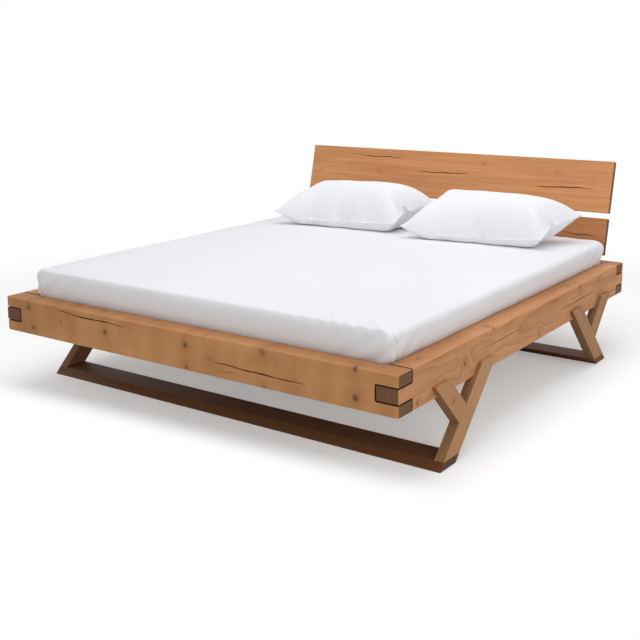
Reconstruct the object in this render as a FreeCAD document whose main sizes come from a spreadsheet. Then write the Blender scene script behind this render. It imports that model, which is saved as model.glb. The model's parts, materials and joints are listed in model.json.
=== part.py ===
import FreeCAD, Part
import math
import os

# Timber bed with through-mortised corner joints, Y-shaped leg frames on two runners, a slatted
# base with a centre beam, a leaning headboard of two boards, and its mattress and pillows.
# +X is to the right as seen from the foot, +Y points to the head and +Z up. The origin is on the
# floor, below the middle of the whole bed. Lengths are millimetres, angles are degrees.

SIZES = [
    # mattress and the opening of the frame around it
    ("mattress_width", 1800.0),
    ("mattress_length", 2000.0),
    ("opening_play", 10.0),
    # beams of the frame
    ("beam_thickness", 90.0),
    ("beam_height", 153.0),
    ("underside_height", 276.0),
    ("tenon_low_share", 0.31),
    ("tenon_high_share", 0.684),
    ("joint_play", 0.3),
    ("tenon_headroom", 0.8),
    ("beam_round", 7.0),
    ("arris_round", 3.2),
    # legs, braces and runners
    ("leg_slope", 45.0),
    ("leg_width", 82.0),
    ("leg_thickness", 43.0),
    ("leg_proud", 18.5),
    ("leg_setback", 264.0),
    ("leg_round", 3.0),
    ("lap_height", 49.0),
    ("brace_width", 79.0),
    ("brace_setback", 272.0),
    ("runner_thickness", 29.0),
    # slatted base
    ("base_height", 64.0),
    ("slat_count", 14.0),
    ("slat_width", 70.0),
    ("slat_thickness", 20.0),
    ("slat_end_gap", 30.0),
    ("slat_play", 3.0),
    ("slat_chamfer", 2.0),
    ("ledger_width", 30.0),
    ("ledger_height", 40.0),
    ("ledger_play", 2.0),
    ("centre_beam_width", 70.0),
    ("centre_beam_height", 42.0),
    ("centre_beam_play", 1.0),
    ("hanger_gauge", 2.0),
    ("hanger_depth", 32.0),
    ("hanger_flange", 26.0),
    ("centre_foot_width", 50.0),
    ("centre_foot_chamfer", 4.0),
    ("glide_radius", 18.0),
    ("glide_height", 6.0),
    ("foot_bolt_length", 60.0),
    # headboard
    ("headboard_width", 1842.0),
    ("headboard_set_in", 82.0),
    ("headboard_lean", 13.25),
    ("board_thickness", 32.0),
    ("board_round", 3.0),
    ("board_lift", 40.0),
    ("lower_board_height", 184.0),
    ("board_gap", 28.5),
    ("upper_board_height", 261.0),
    ("post_width", 60.0),
    ("post_thickness", 34.0),
    ("post_top_drop", 45.0),
    ("post_spacing", 1200.0),
    ("post_tenon_width", 36.0),
    ("post_tenon_thickness", 16.0),
    ("post_tenon_length", 60.0),
    ("peg_radius", 6.0),
    ("peg_bite", 15.0),
    # bolts, inserts, dowels and screws
    ("corner_bolt_radius", 5.0),
    ("corner_bolt_head_radius", 9.2),
    ("corner_bolt_head_height", 6.4),
    ("corner_washer_radius", 12.5),
    ("corner_washer_gauge", 2.0),
    ("corner_counterbore", 12.0),
    ("corner_insert_wall", 2.5),
    ("corner_insert_length", 18.0),
    ("leg_bolt_radius", 4.0),
    ("leg_bolt_head_radius", 7.5),
    ("leg_bolt_head_height", 5.3),
    ("leg_bolt_spacing", 50.0),
    ("leg_washer_radius", 10.0),
    ("leg_washer_gauge", 1.6),
    ("leg_insert_wall", 1.8),
    ("leg_insert_length", 12.0),
    ("thread_play", 0.1),
    ("hole_play", 0.5),
    ("dowel_radius", 5.0),
    ("dowel_length", 50.0),
    ("dowel_spacing", 40.0),
    ("screw_radius", 2.2),
    ("screw_head_radius", 4.6),
    ("screw_head_height", 2.6),
    ("ledger_screw_length", 70.0),
    ("slat_bite_share", 0.3),
    ("runner_screw_length", 72.0),
    ("runner_screw_spacing", 20.0),
    ("hanger_screw_length", 40.0),
    ("board_screw_length", 60.0),
    # mattress and its fitted sheet
    ("mattress_height", 202.0),
    ("mattress_crown", 4.0),
    ("mattress_draw_in", 22.0),
    ("mattress_side_bulge", 29.5),
    ("mattress_end_bulge", 11.8),
    ("mattress_corner", 32.0),
    ("sheet_gauge", 1.0),
    ("sheet_turn_under", 130.0),
    ("soft_play", 0.3),
    # pillows
    ("pillow_width", 792.0),
    ("pillow_depth", 462.0),
    ("pillow_rise", 126.0),
    ("pillow_belly", 102.0),
    ("pillow_edge", 9.0),
    ("pillow_case_gauge", 0.8),
    ("left_pillow_x", -352.0),
    ("left_pillow_setback", 295.0),
    ("left_pillow_turn", -2.0),
    ("left_pillow_tilt", 6.0),
    ("right_pillow_x", 462.0),
    ("right_pillow_setback", 305.0),
    ("right_pillow_turn", -3.0),
    ("right_pillow_tilt", 9.0),
]

doc = FreeCAD.newDocument("TimberBed")
sheet = doc.addObject("Spreadsheet::Sheet", "Sizes")
for row, (alias, value) in enumerate(SIZES, start=1):
    sheet.set("A%d" % row, alias)
    sheet.set("B%d" % row, repr(value))
    sheet.setAlias("B%d" % row, alias)
doc.recompute()


class Size:
    """A length or a count that keeps its number and the cell formula that it comes from."""

    def __init__(self, value, formula):
        self.value = value
        self.formula = formula

    def _join(self, other, mark, number, turned=False):
        text = other.formula if isinstance(other, Size) else repr(float(other))
        left, right = (text, self.formula) if turned else (self.formula, text)
        return Size(number, "(%s %s %s)" % (left, mark, right))

    def __add__(self, other):
        return self._join(other, "+", self.value + number_of(other))

    def __radd__(self, other):
        return self._join(other, "+", number_of(other) + self.value, turned=True)

    def __sub__(self, other):
        return self._join(other, "-", self.value - number_of(other))

    def __rsub__(self, other):
        return self._join(other, "-", number_of(other) - self.value, turned=True)

    def __mul__(self, other):
        return self._join(other, "*", self.value * number_of(other))

    def __rmul__(self, other):
        return self._join(other, "*", number_of(other) * self.value, turned=True)

    def __truediv__(self, other):
        return self._join(other, "/", self.value / number_of(other))

    def __rtruediv__(self, other):
        return self._join(other, "/", number_of(other) / self.value, turned=True)

    def __neg__(self):
        return Size(-self.value, "(-1 * %s)" % self.formula)


def number_of(item):
    return item.value if isinstance(item, Size) else float(item)


def size(alias):
    return Size(float(sheet.get(alias)), "Sizes." + alias)


def sine(angle):
    return Size(math.sin(math.radians(angle.value)), "sin(%s * 1 deg)" % angle.formula)


def cosine(angle):
    return Size(math.cos(math.radians(angle.value)), "cos(%s * 1 deg)" % angle.formula)


def tangent(angle):
    return Size(math.tan(math.radians(angle.value)), "tan(%s * 1 deg)" % angle.formula)


def bind(item, name, amount):
    """Set a property from a size, as a formula of the sheet's cells."""
    if isinstance(amount, Size):
        item.setExpression(name, amount.formula)
    else:
        setattr(item, name, amount)


def bind_place(item, base, rotation=None):
    """Place an object: its base comes from sizes, its turn is a fixed rotation."""
    if rotation is not None:
        item.Placement = FreeCAD.Placement(FreeCAD.Vector(), rotation)
    for letter, amount in zip("xyz", base):
        if isinstance(amount, Size):
            item.setExpression("Placement.Base." + letter, amount.formula)


NO_TURN = FreeCAD.Rotation()
X_AXIS = FreeCAD.Vector(1, 0, 0)
Y_AXIS = FreeCAD.Vector(0, 1, 0)
Z_AXIS = FreeCAD.Vector(0, 0, 1)
UP = FreeCAD.Rotation(Z_AXIS, Z_AXIS)
ALONG_X = FreeCAD.Rotation(Z_AXIS, X_AXIS)
ALONG_MINUS_X = FreeCAD.Rotation(Z_AXIS, -X_AXIS)
ALONG_Y = FreeCAD.Rotation(Z_AXIS, Y_AXIS)
ALONG_MINUS_Y = FreeCAD.Rotation(Z_AXIS, -Y_AXIS)
DOWN = FreeCAD.Rotation(Z_AXIS, -Z_AXIS)
SIDES = (("left", -1), ("right", 1))
ENDS = (("foot", -1), ("head", 1))
nodes = {}


def plane_of(body, role):
    for feature in body.Origin.OriginFeatures:
        if feature.Role == role:
            return feature
    raise ValueError(role)


def new_body(label):
    body = doc.addObject("PartDesign::Body", label)
    body.Label = label
    return body


def add_outline(body, role, corners):
    """A closed sketch of straight lines whose corners are held by formulas of the cells."""
    sketch = body.newObject("Sketcher::SketchObject", body.Name + "_outline")
    sketch.AttachmentSupport = (plane_of(body, role), [""])
    sketch.MapMode = "FlatFace"
    points = [FreeCAD.Vector(number_of(x), number_of(y), 0) for x, y in corners]
    count = len(points)
    for index in range(count):
        sketch.addGeometry(Part.LineSegment(points[index], points[(index + 1) % count]), False)
    for index in range(count):
        sketch.addConstraint(Sketcher.Constraint("Coincident", index, 2, (index + 1) % count, 1))
    for index, corner in enumerate(corners):
        for kind, axis, amount in (("DistanceX", -2, corner[0]), ("DistanceY", -1, corner[1])):
            if isinstance(amount, Size):
                held = sketch.addConstraint(
                    Sketcher.Constraint(kind, -1, 1, index, 1, amount.value))
                sketch.setExpression("Constraints[%d]" % held, amount.formula)
            else:
                sketch.addConstraint(Sketcher.Constraint("PointOnObject", index, 1, axis))
    return sketch


def add_pad(body, sketch, length, backwards=False):
    pad = body.newObject("PartDesign::Pad", body.Name + "_pad")
    pad.Profile = sketch
    bind(pad, "Length", length)
    pad.Reversed = backwards
    sketch.Visibility = False
    doc.recompute()
    return pad


def add_edge_feature(body, kind, name, amount, wanted):
    """Round or chamfer the edges of the tip that the test picks."""
    base = body.Tip
    picked = ["Edge%d" % (n + 1) for n, edge in enumerate(base.Shape.Edges) if wanted(edge)]
    if not picked:
        raise ValueError("no edge picked on " + body.Label)
    feature = body.newObject(kind, body.Name + name)
    feature.Base = (base, picked)
    bind(feature, "Radius" if kind.endswith("Fillet") else "Size", amount)
    doc.recompute()
    return feature


def is_line(edge):
    return not edge.Degenerated and edge.Curve.TypeId == "Part::GeomLine"


def along(edge, axis):
    direction = (edge.Vertexes[-1].Point - edge.Vertexes[0].Point).normalize()
    return abs(direction.dot(axis)) > ALIGNED_SHARE


ALIGNED_SHARE = 0.999
CLOSE_SHARE = 1e-4
FACET_TOLERANCE = 0.2


def near(number, amount):
    """Whether a coordinate lies on a size, within a small share of the beam's thickness."""
    return abs(number - number_of(amount)) < CLOSE_SHARE * beam_thickness.value


def rod(name, radius, length, base, rotation):
    cylinder = doc.addObject("Part::Cylinder", name)
    bind(cylinder, "Radius", radius)
    bind(cylinder, "Height", length)
    bind_place(cylinder, base, rotation)
    return cylinder


def block(name, extent, base):
    box = doc.addObject("Part::Box", name)
    for side, amount in zip(("Length", "Width", "Height"), extent):
        bind(box, side, amount)
    bind_place(box, base)
    return box


def cut_with(label, base, tools):
    """The base less a group of separate tools, such as the drills of one piece."""
    tool = tools[0]
    if len(tools) > 1:
        tool = doc.addObject("Part::Compound", label + "_tools")
        tool.Links = tools
    cut = doc.addObject("Part::Cut", label + "_cut")
    cut.Base = base
    cut.Tool = tool
    return cut


def keep(label, item):
    """Name a finished piece."""
    nodes[label] = item
    item.Label = label
    return item


def repeated(label, pattern, places):
    """A group of separate solids: the pattern's shape at each of its places."""
    doc.recompute()
    group = doc.addObject("Part::Feature", label)
    shapes = []
    for base, rotation in places:
        shape = pattern.Shape.copy()
        spot = FreeCAD.Vector(*[number_of(amount) for amount in base])
        shape.Placement = FreeCAD.Placement(spot, rotation)
        shapes.append(shape)
    group.Shape = Part.Compound(shapes)
    return group


beam_thickness = size("beam_thickness")
beam_height = size("beam_height")
underside = size("underside_height")
arris = size("arris_round")
joint_play = size("joint_play")
hole_play = size("hole_play")
thread_play = size("thread_play")
inner_x = size("mattress_width") / 2 + size("opening_play")
inner_y = size("mattress_length") / 2 + size("opening_play")
outer_x = inner_x + beam_thickness
outer_y = inner_y + beam_thickness
beam_top = underside + beam_height
tenon_bottom = underside + beam_height * size("tenon_low_share")
tenon_top = underside + beam_height * size("tenon_high_share")
slot_top = tenon_top + size("tenon_headroom")

lean = size("headboard_lean")
board_thickness = size("board_thickness")
board_face_y = outer_y - size("headboard_set_in")
lower_board_low = size("board_lift")
lower_board_high = lower_board_low + size("lower_board_height")
upper_board_low = lower_board_high + size("board_gap")
upper_board_high = upper_board_low + size("upper_board_height")
post_back = board_thickness + size("post_thickness")
post_high = upper_board_high - size("post_top_drop")


def slope_y(up_slope, behind):
    """Y of a point that lies up the headboard's slope and behind its front face."""
    return board_face_y + up_slope * sine(lean) + behind * cosine(lean)


def slope_z(up_slope, behind):
    return beam_top + up_slope * cosine(lean) - behind * sine(lean)


# the whole bed is moved along Y so that its middle, headboard included, lies on the origin
back_reach = slope_y(post_high, post_back)
origin_shift = (outer_y - back_reach) / 2


def keep_moved(label, item):
    """Name a finished piece and move it along Y with the whole bed."""
    item.setExpression("Placement.Base.y", origin_shift.formula)
    return keep(label, item)


def copies(label, pattern, places):
    """A piece that is a group of equal solids, one at each place."""
    return keep_moved(label, repeated(label, pattern, places))


def make_cross_beam(label, end):
    """A beam across the foot or the head, slotted at both ends for the tenons of the rails."""
    body = new_body(label + "_blank")
    slot_x = inner_x - joint_play
    corners = [
        (-outer_x, underside), (outer_x, underside),
        (outer_x, tenon_bottom), (slot_x, tenon_bottom), (slot_x, slot_top), (outer_x, slot_top),
        (outer_x, beam_top), (-outer_x, beam_top),
        (-outer_x, slot_top), (-slot_x, slot_top), (-slot_x, tenon_bottom), (-outer_x, tenon_bottom),
    ]
    add_pad(body, add_outline(body, "XZ_Plane", corners), beam_thickness, backwards=end > 0)
    face_y = beam_thickness * end

    def is_outer(edge):
        if not is_line(edge):
            return False
        middle = edge.CenterOfMass
        level = near(middle.z, underside) or near(middle.z, beam_top)
        tip = near(abs(middle.x), outer_x)
        if along(edge, X_AXIS):
            return level
        if along(edge, Y_AXIS):
            return tip and level
        return tip and near(middle.y, face_y)

    add_edge_feature(body, "PartDesign::Fillet", "_round", size("beam_round"), is_outer)

    def is_slot(edge):
        if not is_line(edge):
            return False
        middle = edge.CenterOfMass
        level = near(middle.z, tenon_bottom) or near(middle.z, slot_top)
        if along(edge, Z_AXIS):
            return near(abs(middle.x), slot_x) and near(middle.y, face_y)
        if along(edge, Y_AXIS):
            return level and near(abs(middle.x), outer_x)
        return level and near(middle.y, face_y)

    add_edge_feature(body, "PartDesign::Fillet", "_arris", arris, is_slot)
    body.setExpression("Placement.Base.y", (inner_y * end).formula)
    return body


def make_side_rail(label, side):
    """A rail along one side, with a tenon at each end that shows in the beam's outer face."""
    body = new_body(label + "_blank")
    shoulder = inner_y - joint_play
    corners = [
        (-shoulder, underside), (shoulder, underside),
        (shoulder, tenon_bottom), (outer_y, tenon_bottom), (outer_y, tenon_top), (shoulder, tenon_top),
        (shoulder, beam_top), (-shoulder, beam_top),
        (-shoulder, tenon_top), (-outer_y, tenon_top), (-outer_y, tenon_bottom), (-shoulder, tenon_bottom),
    ]
    add_pad(body, add_outline(body, "YZ_Plane", corners), beam_thickness, backwards=side < 0)
    face_x = beam_thickness * side

    def is_long(edge):
        middle = edge.CenterOfMass
        level = near(middle.z, underside) or near(middle.z, beam_top)
        return is_line(edge) and along(edge, Y_AXIS) and level

    add_edge_feature(body, "PartDesign::Fillet", "_round", size("beam_round"), is_long)

    def is_arris(edge):
        if not is_line(edge):
            return False
        middle = edge.CenterOfMass
        level = near(middle.z, tenon_bottom) or near(middle.z, tenon_top)
        tip = near(abs(middle.y), outer_y)
        if along(edge, Y_AXIS):
            return level and near(middle.x, face_x)
        if along(edge, X_AXIS):
            return tip and level
        return near(middle.x, face_x) and (tip or near(abs(middle.y), shoulder))

    add_edge_feature(body, "PartDesign::Fillet", "_arris", arris, is_arris)
    body.setExpression("Placement.Base.x", (inner_x * side).formula)
    return body


slope = size("leg_slope")
leg_thickness = size("leg_thickness")
leg_proud = size("leg_proud")
leg_base_y = outer_y - size("leg_setback")
leg_across = size("leg_width") / sine(slope)
lap_top = underside + size("lap_height")
runner_thickness = size("runner_thickness")
brace_base_y = outer_y - size("brace_setback")
brace_across = size("brace_width") / cosine(slope)
leg_face_x = outer_x + leg_proud
leg_middle_x = leg_face_x - leg_thickness / 2


def leg_front(height):
    """Distance from the middle of the frame to the leg's outer edge at a height."""
    return leg_base_y - height / tangent(slope)


def brace_front(height):
    return brace_base_y + (height - underside) * tangent(slope)


def brace_meets_leg(across):
    """Height at which a line of the brace, set back across its width, meets the leg."""
    gap = leg_base_y - brace_base_y + across + underside * tangent(slope)
    return gap / (tangent(slope) + 1 / tangent(slope))


brace_low_front = brace_meets_leg(0.0)
brace_low_back = brace_meets_leg(brace_across)


def leg_outline(end, top):
    corners = [
        (leg_front(runner_thickness), runner_thickness),
        (leg_front(runner_thickness) - leg_across, runner_thickness),
        (leg_front(top) - leg_across, top),
        (leg_front(top), top),
    ]
    return [(y * end, z) for y, z in corners]


def brace_outline(end, top):
    corners = [
        (leg_front(brace_low_front), brace_low_front),
        (leg_front(brace_low_back), brace_low_back),
        (brace_front(top) - brace_across, top),
        (brace_front(top), top),
    ]
    return [(y * end, z) for y, z in corners]


def make_lapped_board(label, side, end, outline):
    """A leg or a brace: a shoulder carries the rail and a tongue laps over its outer face."""
    body = new_body(label + "_blank")
    lower = add_outline(body, "YZ_Plane", outline(end, underside))
    add_pad(body, lower, leg_thickness - leg_proud, backwards=side > 0)
    whole = add_outline(body, "YZ_Plane", outline(end, lap_top))
    add_pad(body, whole, leg_proud, backwards=side < 0)
    face_x = leg_proud * side
    back_x = (leg_proud - leg_thickness) * side

    def is_arris(edge):
        middle = edge.CenterOfMass
        if along(edge, X_AXIS):
            return near(middle.z, lap_top)
        return near(middle.x, face_x) or near(middle.x, back_x)

    add_edge_feature(body, "PartDesign::Fillet", "_round", size("leg_round"), is_arris)
    body.setExpression("Placement.Base.x", (outer_x * side).formula)
    return body


def make_runner(label, end):
    """A flat runner across the bed whose sides lean with the legs that stand on it."""
    body = new_body(label + "_blank")
    corners = [
        (leg_base_y, 0.0),
        (leg_base_y - leg_across, 0.0),
        (leg_front(runner_thickness) - leg_across, runner_thickness),
        (leg_front(runner_thickness), runner_thickness),
    ]
    corners = [(y * end, z) for y, z in corners]
    add_pad(body, add_outline(body, "YZ_Plane", corners), leg_face_x * 2)

    def is_end(edge):
        return not along(edge, X_AXIS)

    add_edge_feature(body, "PartDesign::Fillet", "_round", size("leg_round"), is_end)
    body.setExpression("Placement.Base.x", (-leg_face_x).formula)
    return body


def add_revolved(label, corners):
    """A turned pattern piece about its own Z axis."""
    body = new_body(label)
    sketch = add_outline(body, "XZ_Plane", corners)
    turn = body.newObject("PartDesign::Revolution", body.Name + "_turn")
    turn.Profile = sketch
    turn.ReferenceAxis = (sketch, ["V_Axis"])
    turn.Angle = FULL_TURN
    sketch.Visibility = False
    return body


FULL_TURN = 360.0


def screw_pattern(label, length):
    """A pan head screw: the head lies below zero and the shank runs up along Z."""
    head, reach = size("screw_head_radius"), size("screw_radius")
    low = -size("screw_head_height")
    tip = length - reach
    return add_revolved(label, [
        (0.0, low), (head, low), (head, 0.0), (reach, 0.0), (reach, tip), (0.0, length)])


def ring_pattern(label, outside, bore, length):
    return add_revolved(label, [(bore, 0.0), (outside, 0.0), (outside, length), (bore, length)])


def bolt_pattern(label, radius, length, head_radius, head_height):
    """A hexagon bolt: the head lies below zero and the shank runs up along Z."""
    head = doc.addObject("Part::Prism", label + "_head")
    head.Polygon = HEXAGON
    bind(head, "Circumradius", head_radius)
    bind(head, "Height", head_height)
    bind_place(head, (0.0, 0.0, -head_height))
    shank = rod(label + "_shank", radius, length, (0.0, 0.0, 0.0), UP)
    bolt = doc.addObject("Part::Fuse", label)
    bolt.Base = head
    bolt.Tool = shank
    return bolt


HEXAGON = 6


def drills(label, radius, length, places):
    """Drills of one radius, each starting at its place and running along its own Z axis."""
    bit = rod(label + "_bit", radius, length, (0.0, 0.0, 0.0), UP)
    return repeated(label, bit, places)


def shifted(places, dx=0.0, dy=0.0, dz=0.0):
    """The places moved along X away from the middle, along Y away from it, and up."""
    moved = []
    for (x, y, z), rotation in places:
        out_x = dx if number_of(x) > 0 else -dx
        out_y = dy if number_of(y) > 0 else -dy
        moved.append(((x + out_x, y + out_y, z + dz), rotation))
    return moved


# places of the fasteners that join the frame, each with the turn of its own axis
bolt_level = underside + size("base_height") - size("slat_thickness") - size("ledger_height") / 2
ledger_face_x = inner_x - size("ledger_width")
leg_bolt_y = leg_front(bolt_level) - leg_across / 2
brace_bolt_y = brace_front(bolt_level) - brace_across / 2
half_spacing = size("leg_bolt_spacing") / 2
lap_bolt_reaches = [leg_bolt_y - half_spacing, leg_bolt_y + half_spacing, brace_bolt_y]


def outward(side):
    return ALONG_X if side > 0 else ALONG_MINUS_X


lap_places = []
for side_name, side in SIDES:
    for end_name, end in ENDS:
        for reach in lap_bolt_reaches:
            lap_places.append(((ledger_face_x * side, reach * end, bolt_level), outward(side)))

corner_middle_x = outer_x - beam_thickness / 2
corner_middle_y = outer_y - beam_thickness / 2
corner_places = []
for side_name, side in SIDES:
    for end_name, end in ENDS:
        corner_places.append(((corner_middle_x * side, corner_middle_y * end, underside), UP))

# the corner joints: a bolt from below holds the two fingers of the beam round the tenon
corner_bolt_radius = size("corner_bolt_radius")
corner_hole_radius = corner_bolt_radius + hole_play
corner_insert_radius = corner_bolt_radius + thread_play + size("corner_insert_wall")
counterbore = size("corner_counterbore")
washer_level = counterbore - size("corner_washer_gauge")
counterbore_drill = drills(
    "counterbore_drill", size("corner_washer_radius") + hole_play, counterbore, corner_places)
corner_hole_drill = drills(
    "corner_hole_drill", corner_hole_radius, slot_top - underside, corner_places)
corner_insert_drill = drills(
    "corner_insert_drill", corner_insert_radius + thread_play,
    size("corner_insert_length") + hole_play, shifted(corner_places, dz=slot_top - underside))
corner_bolt = bolt_pattern(
    "corner_bolt_pattern", corner_bolt_radius,
    slot_top - underside - washer_level + size("corner_insert_length"),
    size("corner_bolt_head_radius"), size("corner_bolt_head_height"))
copies("corner_bolts", corner_bolt, shifted(corner_places, dz=washer_level))
copies("corner_washers", ring_pattern(
    "corner_washer_pattern", size("corner_washer_radius"), corner_hole_radius,
    size("corner_washer_gauge")), shifted(corner_places, dz=washer_level))
copies("corner_inserts", ring_pattern(
    "corner_insert_pattern", corner_insert_radius, corner_bolt_radius + thread_play,
    size("corner_insert_length")), shifted(corner_places, dz=slot_top - underside))

# the lap joints: bolts through ledger and rail screw into inserts in the tongues outside
leg_bolt_radius = size("leg_bolt_radius")
leg_hole_radius = leg_bolt_radius + hole_play
leg_insert_radius = leg_bolt_radius + thread_play + size("leg_insert_wall")
through_rail = outer_x - ledger_face_x
lap_hole_drill = drills("lap_hole_drill", leg_hole_radius, through_rail, lap_places)
lap_insert_places = shifted(lap_places, dx=through_rail)
lap_insert_drill = drills(
    "lap_insert_drill", leg_insert_radius + thread_play,
    size("leg_insert_length") + hole_play, lap_insert_places)
leg_washer_gauge = size("leg_washer_gauge")
leg_bolt = bolt_pattern(
    "leg_bolt_pattern", leg_bolt_radius,
    leg_washer_gauge + through_rail + size("leg_insert_length"),
    size("leg_bolt_head_radius"), size("leg_bolt_head_height"))
copies("leg_bolts", leg_bolt, shifted(lap_places, dx=-leg_washer_gauge))
copies("leg_washers", ring_pattern(
    "leg_washer_pattern", size("leg_washer_radius"), leg_hole_radius, leg_washer_gauge),
    shifted(lap_places, dx=-leg_washer_gauge))
copies("leg_inserts", ring_pattern(
    "leg_insert_pattern", leg_insert_radius, leg_bolt_radius + thread_play,
    size("leg_insert_length")), lap_insert_places)

# dowels hold each brace against the leg, square to the leg's edge
slope_radians = math.radians(slope.value)
brace_joint_y = (leg_front(brace_low_front) + leg_front(brace_low_back)) / 2
brace_joint_z = (brace_low_front + brace_low_back) / 2
half_dowels = size("dowel_spacing") / 2
half_dowel = size("dowel_length") / 2


def dowel_places(lead):
    """Both dowels of every brace, starting a lead below the joint, along the brace."""
    places = []
    for side_name, side in SIDES:
        for end_name, end in ENDS:
            axis = FreeCAD.Vector(0, end * math.sin(slope_radians), math.cos(slope_radians))
            for row in (-1, 1):
                y = brace_joint_y + half_dowels * cosine(slope) * row - lead * sine(slope)
                z = brace_joint_z - half_dowels * sine(slope) * row - lead * cosine(slope)
                spot = (leg_middle_x * side, y * end, z)
                places.append((spot, FreeCAD.Rotation(Z_AXIS, axis)))
    return places


dowel_radius = size("dowel_radius")
dowel_drill = drills(
    "dowel_drill", dowel_radius + thread_play, size("dowel_length") + hole_play * 2,
    dowel_places(half_dowel + hole_play))
copies("brace_dowels", rod("dowel_pattern", dowel_radius, size("dowel_length"),
                           (0.0, 0.0, 0.0), UP), dowel_places(half_dowel))

# screws from below hold the legs on the runners
screw_radius = size("screw_radius")
screw_hole_radius = screw_radius + thread_play
screw_head_radius = size("screw_head_radius") + thread_play
screw_sink = size("screw_head_height") + hole_play
runner_screw_length = size("runner_screw_length")
runner_screw_tip = screw_sink + runner_screw_length
runner_screw_y = leg_front(runner_screw_tip / 2) - leg_across / 2
half_pair = size("runner_screw_spacing") / 2
runner_screw_places = []
for side_name, side in SIDES:
    for end_name, end in ENDS:
        for row in (-1, 1):
            x = (leg_middle_x + half_pair * row) * side
            runner_screw_places.append(((x, runner_screw_y * end, screw_sink), UP))
runner_screw_drill = drills(
    "runner_screw_drill", screw_hole_radius, runner_screw_length + hole_play, runner_screw_places)
runner_head_drill = drills(
    "runner_head_drill", screw_head_radius, screw_sink, shifted(runner_screw_places, dz=-screw_sink))
copies("runner_screws", screw_pattern("runner_screw_pattern", runner_screw_length),
       runner_screw_places)

# slats, ledgers and the screws between them
slat_count = int(size("slat_count").value)
slat_width = size("slat_width")
slat_thickness = size("slat_thickness")
base_top = underside + size("base_height")
slat_low = base_top - slat_thickness
slat_half = inner_x - size("slat_play")
first_slat_y = size("slat_end_gap") - inner_y
slat_pitch = (inner_y * 2 - size("slat_end_gap") * 2 - slat_width) / (slat_count - 1)
ledger_middle_x = inner_x - size("ledger_width") / 2
ledger_half = inner_y - size("ledger_play")
slat_screw_length = slat_thickness - screw_sink + size("ledger_height") * size("slat_bite_share")

slat_screw_places = []
for number in range(slat_count):
    middle = first_slat_y + slat_pitch * number + slat_width / 2
    for side_name, side in SIDES:
        slat_screw_places.append(((ledger_middle_x * side, middle, base_top - screw_sink), DOWN))
slat_screw_drill = drills(
    "slat_screw_drill", screw_hole_radius, slat_screw_length + hole_play, slat_screw_places)
slat_head_drill = drills(
    "slat_head_drill", screw_head_radius, screw_sink, shifted(slat_screw_places, dz=screw_sink))
copies("slat_screws", screw_pattern("slat_screw_pattern", slat_screw_length), slat_screw_places)


def make_slat(label, number):
    """One slat with its two upper long edges chamfered."""
    body = new_body(label + "_blank")
    bevel = size("slat_chamfer")
    low_y = first_slat_y + slat_pitch * number
    high_y = low_y + slat_width
    corners = [
        (low_y, slat_low), (high_y, slat_low), (high_y, base_top - bevel),
        (high_y - bevel, base_top), (low_y + bevel, base_top), (low_y, base_top - bevel)]
    add_pad(body, add_outline(body, "YZ_Plane", corners), slat_half * 2)
    body.setExpression("Placement.Base.x", (-slat_half).formula)
    return body


for number in range(slat_count):
    label = "slat_%02d" % (number + 1)
    keep_moved(label, cut_with(label, make_slat(label, number), [slat_screw_drill, slat_head_drill]))

ledger_screw_reaches = [
    (leg_bolt_y + brace_bolt_y) / 2,
    (brace_bolt_y + ledger_half) / 2,
] + [(leg_bolt_y - half_spacing) * share for share in (0.7, 0.25)]
ledger_screw_places = []
for side_name, side in SIDES:
    for end_name, end in ENDS:
        for reach in ledger_screw_reaches:
            ledger_screw_places.append(
                ((ledger_face_x * side, reach * end, bolt_level), outward(side)))
ledger_screw_length = size("ledger_screw_length")
ledger_screw_drill = drills(
    "ledger_screw_drill", screw_hole_radius, ledger_screw_length + hole_play, ledger_screw_places)
copies("ledger_screws", screw_pattern("ledger_screw_pattern", ledger_screw_length),
       ledger_screw_places)
for side_name, side in SIDES:
    label = side_name + "_ledger"
    near_x = ledger_face_x if side > 0 else -inner_x
    bar = block(label + "_bar",
                (size("ledger_width"), ledger_half * 2, size("ledger_height")),
                (near_x, -ledger_half, slat_low - size("ledger_height")))
    tools = [lap_hole_drill, ledger_screw_drill, slat_screw_drill]
    keep_moved(label, cut_with(label, bar, tools))

# centre beam, the hangers at its ends and the foot below its middle
centre_half = size("centre_beam_width") / 2
centre_low = slat_low - size("centre_beam_height")
gauge = size("hanger_gauge")
flange_x = centre_half + size("centre_beam_play") + gauge + size("hanger_flange") / 2
hanger_screw_length = size("hanger_screw_length")
hanger_screw_places = []
for end_name, end in ENDS:
    into_beam = ALONG_Y if end > 0 else ALONG_MINUS_Y
    for side_name, side in SIDES:
        for share in (0.3, 0.75):
            level = centre_low + size("centre_beam_height") * share
            spot = (flange_x * side, (inner_y - gauge) * end, level)
            hanger_screw_places.append((spot, into_beam))
hanger_screw_drill = drills(
    "hanger_screw_drill", screw_hole_radius, hanger_screw_length + hole_play, hanger_screw_places)
copies("hanger_screws", screw_pattern("hanger_screw_pattern", hanger_screw_length),
       hanger_screw_places)


def make_hanger(label, end):
    """A bent steel stirrup: flanges on the beam, and a channel that carries the centre beam."""
    body = new_body(label + "_blank")
    bore = centre_half + size("centre_beam_play")
    wall = bore + gauge
    wing = wall + size("hanger_flange")
    low = centre_low - gauge

    def channel(reach):
        corners = [(-reach, low), (reach, low), (reach, slat_low), (bore, slat_low),
                   (bore, centre_low), (-bore, centre_low), (-bore, slat_low), (-reach, slat_low)]
        return add_outline(body, "XZ_Plane", corners)

    add_pad(body, channel(wing), gauge, backwards=end < 0)
    add_pad(body, channel(wall), size("hanger_depth"), backwards=end < 0)
    body.setExpression("Placement.Base.y", (inner_y * end).formula)
    return body


for end_name, end in ENDS:
    label = end_name + "_hanger"
    keep_moved(label, cut_with(label, make_hanger(label, end), [hanger_screw_drill]))

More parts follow.
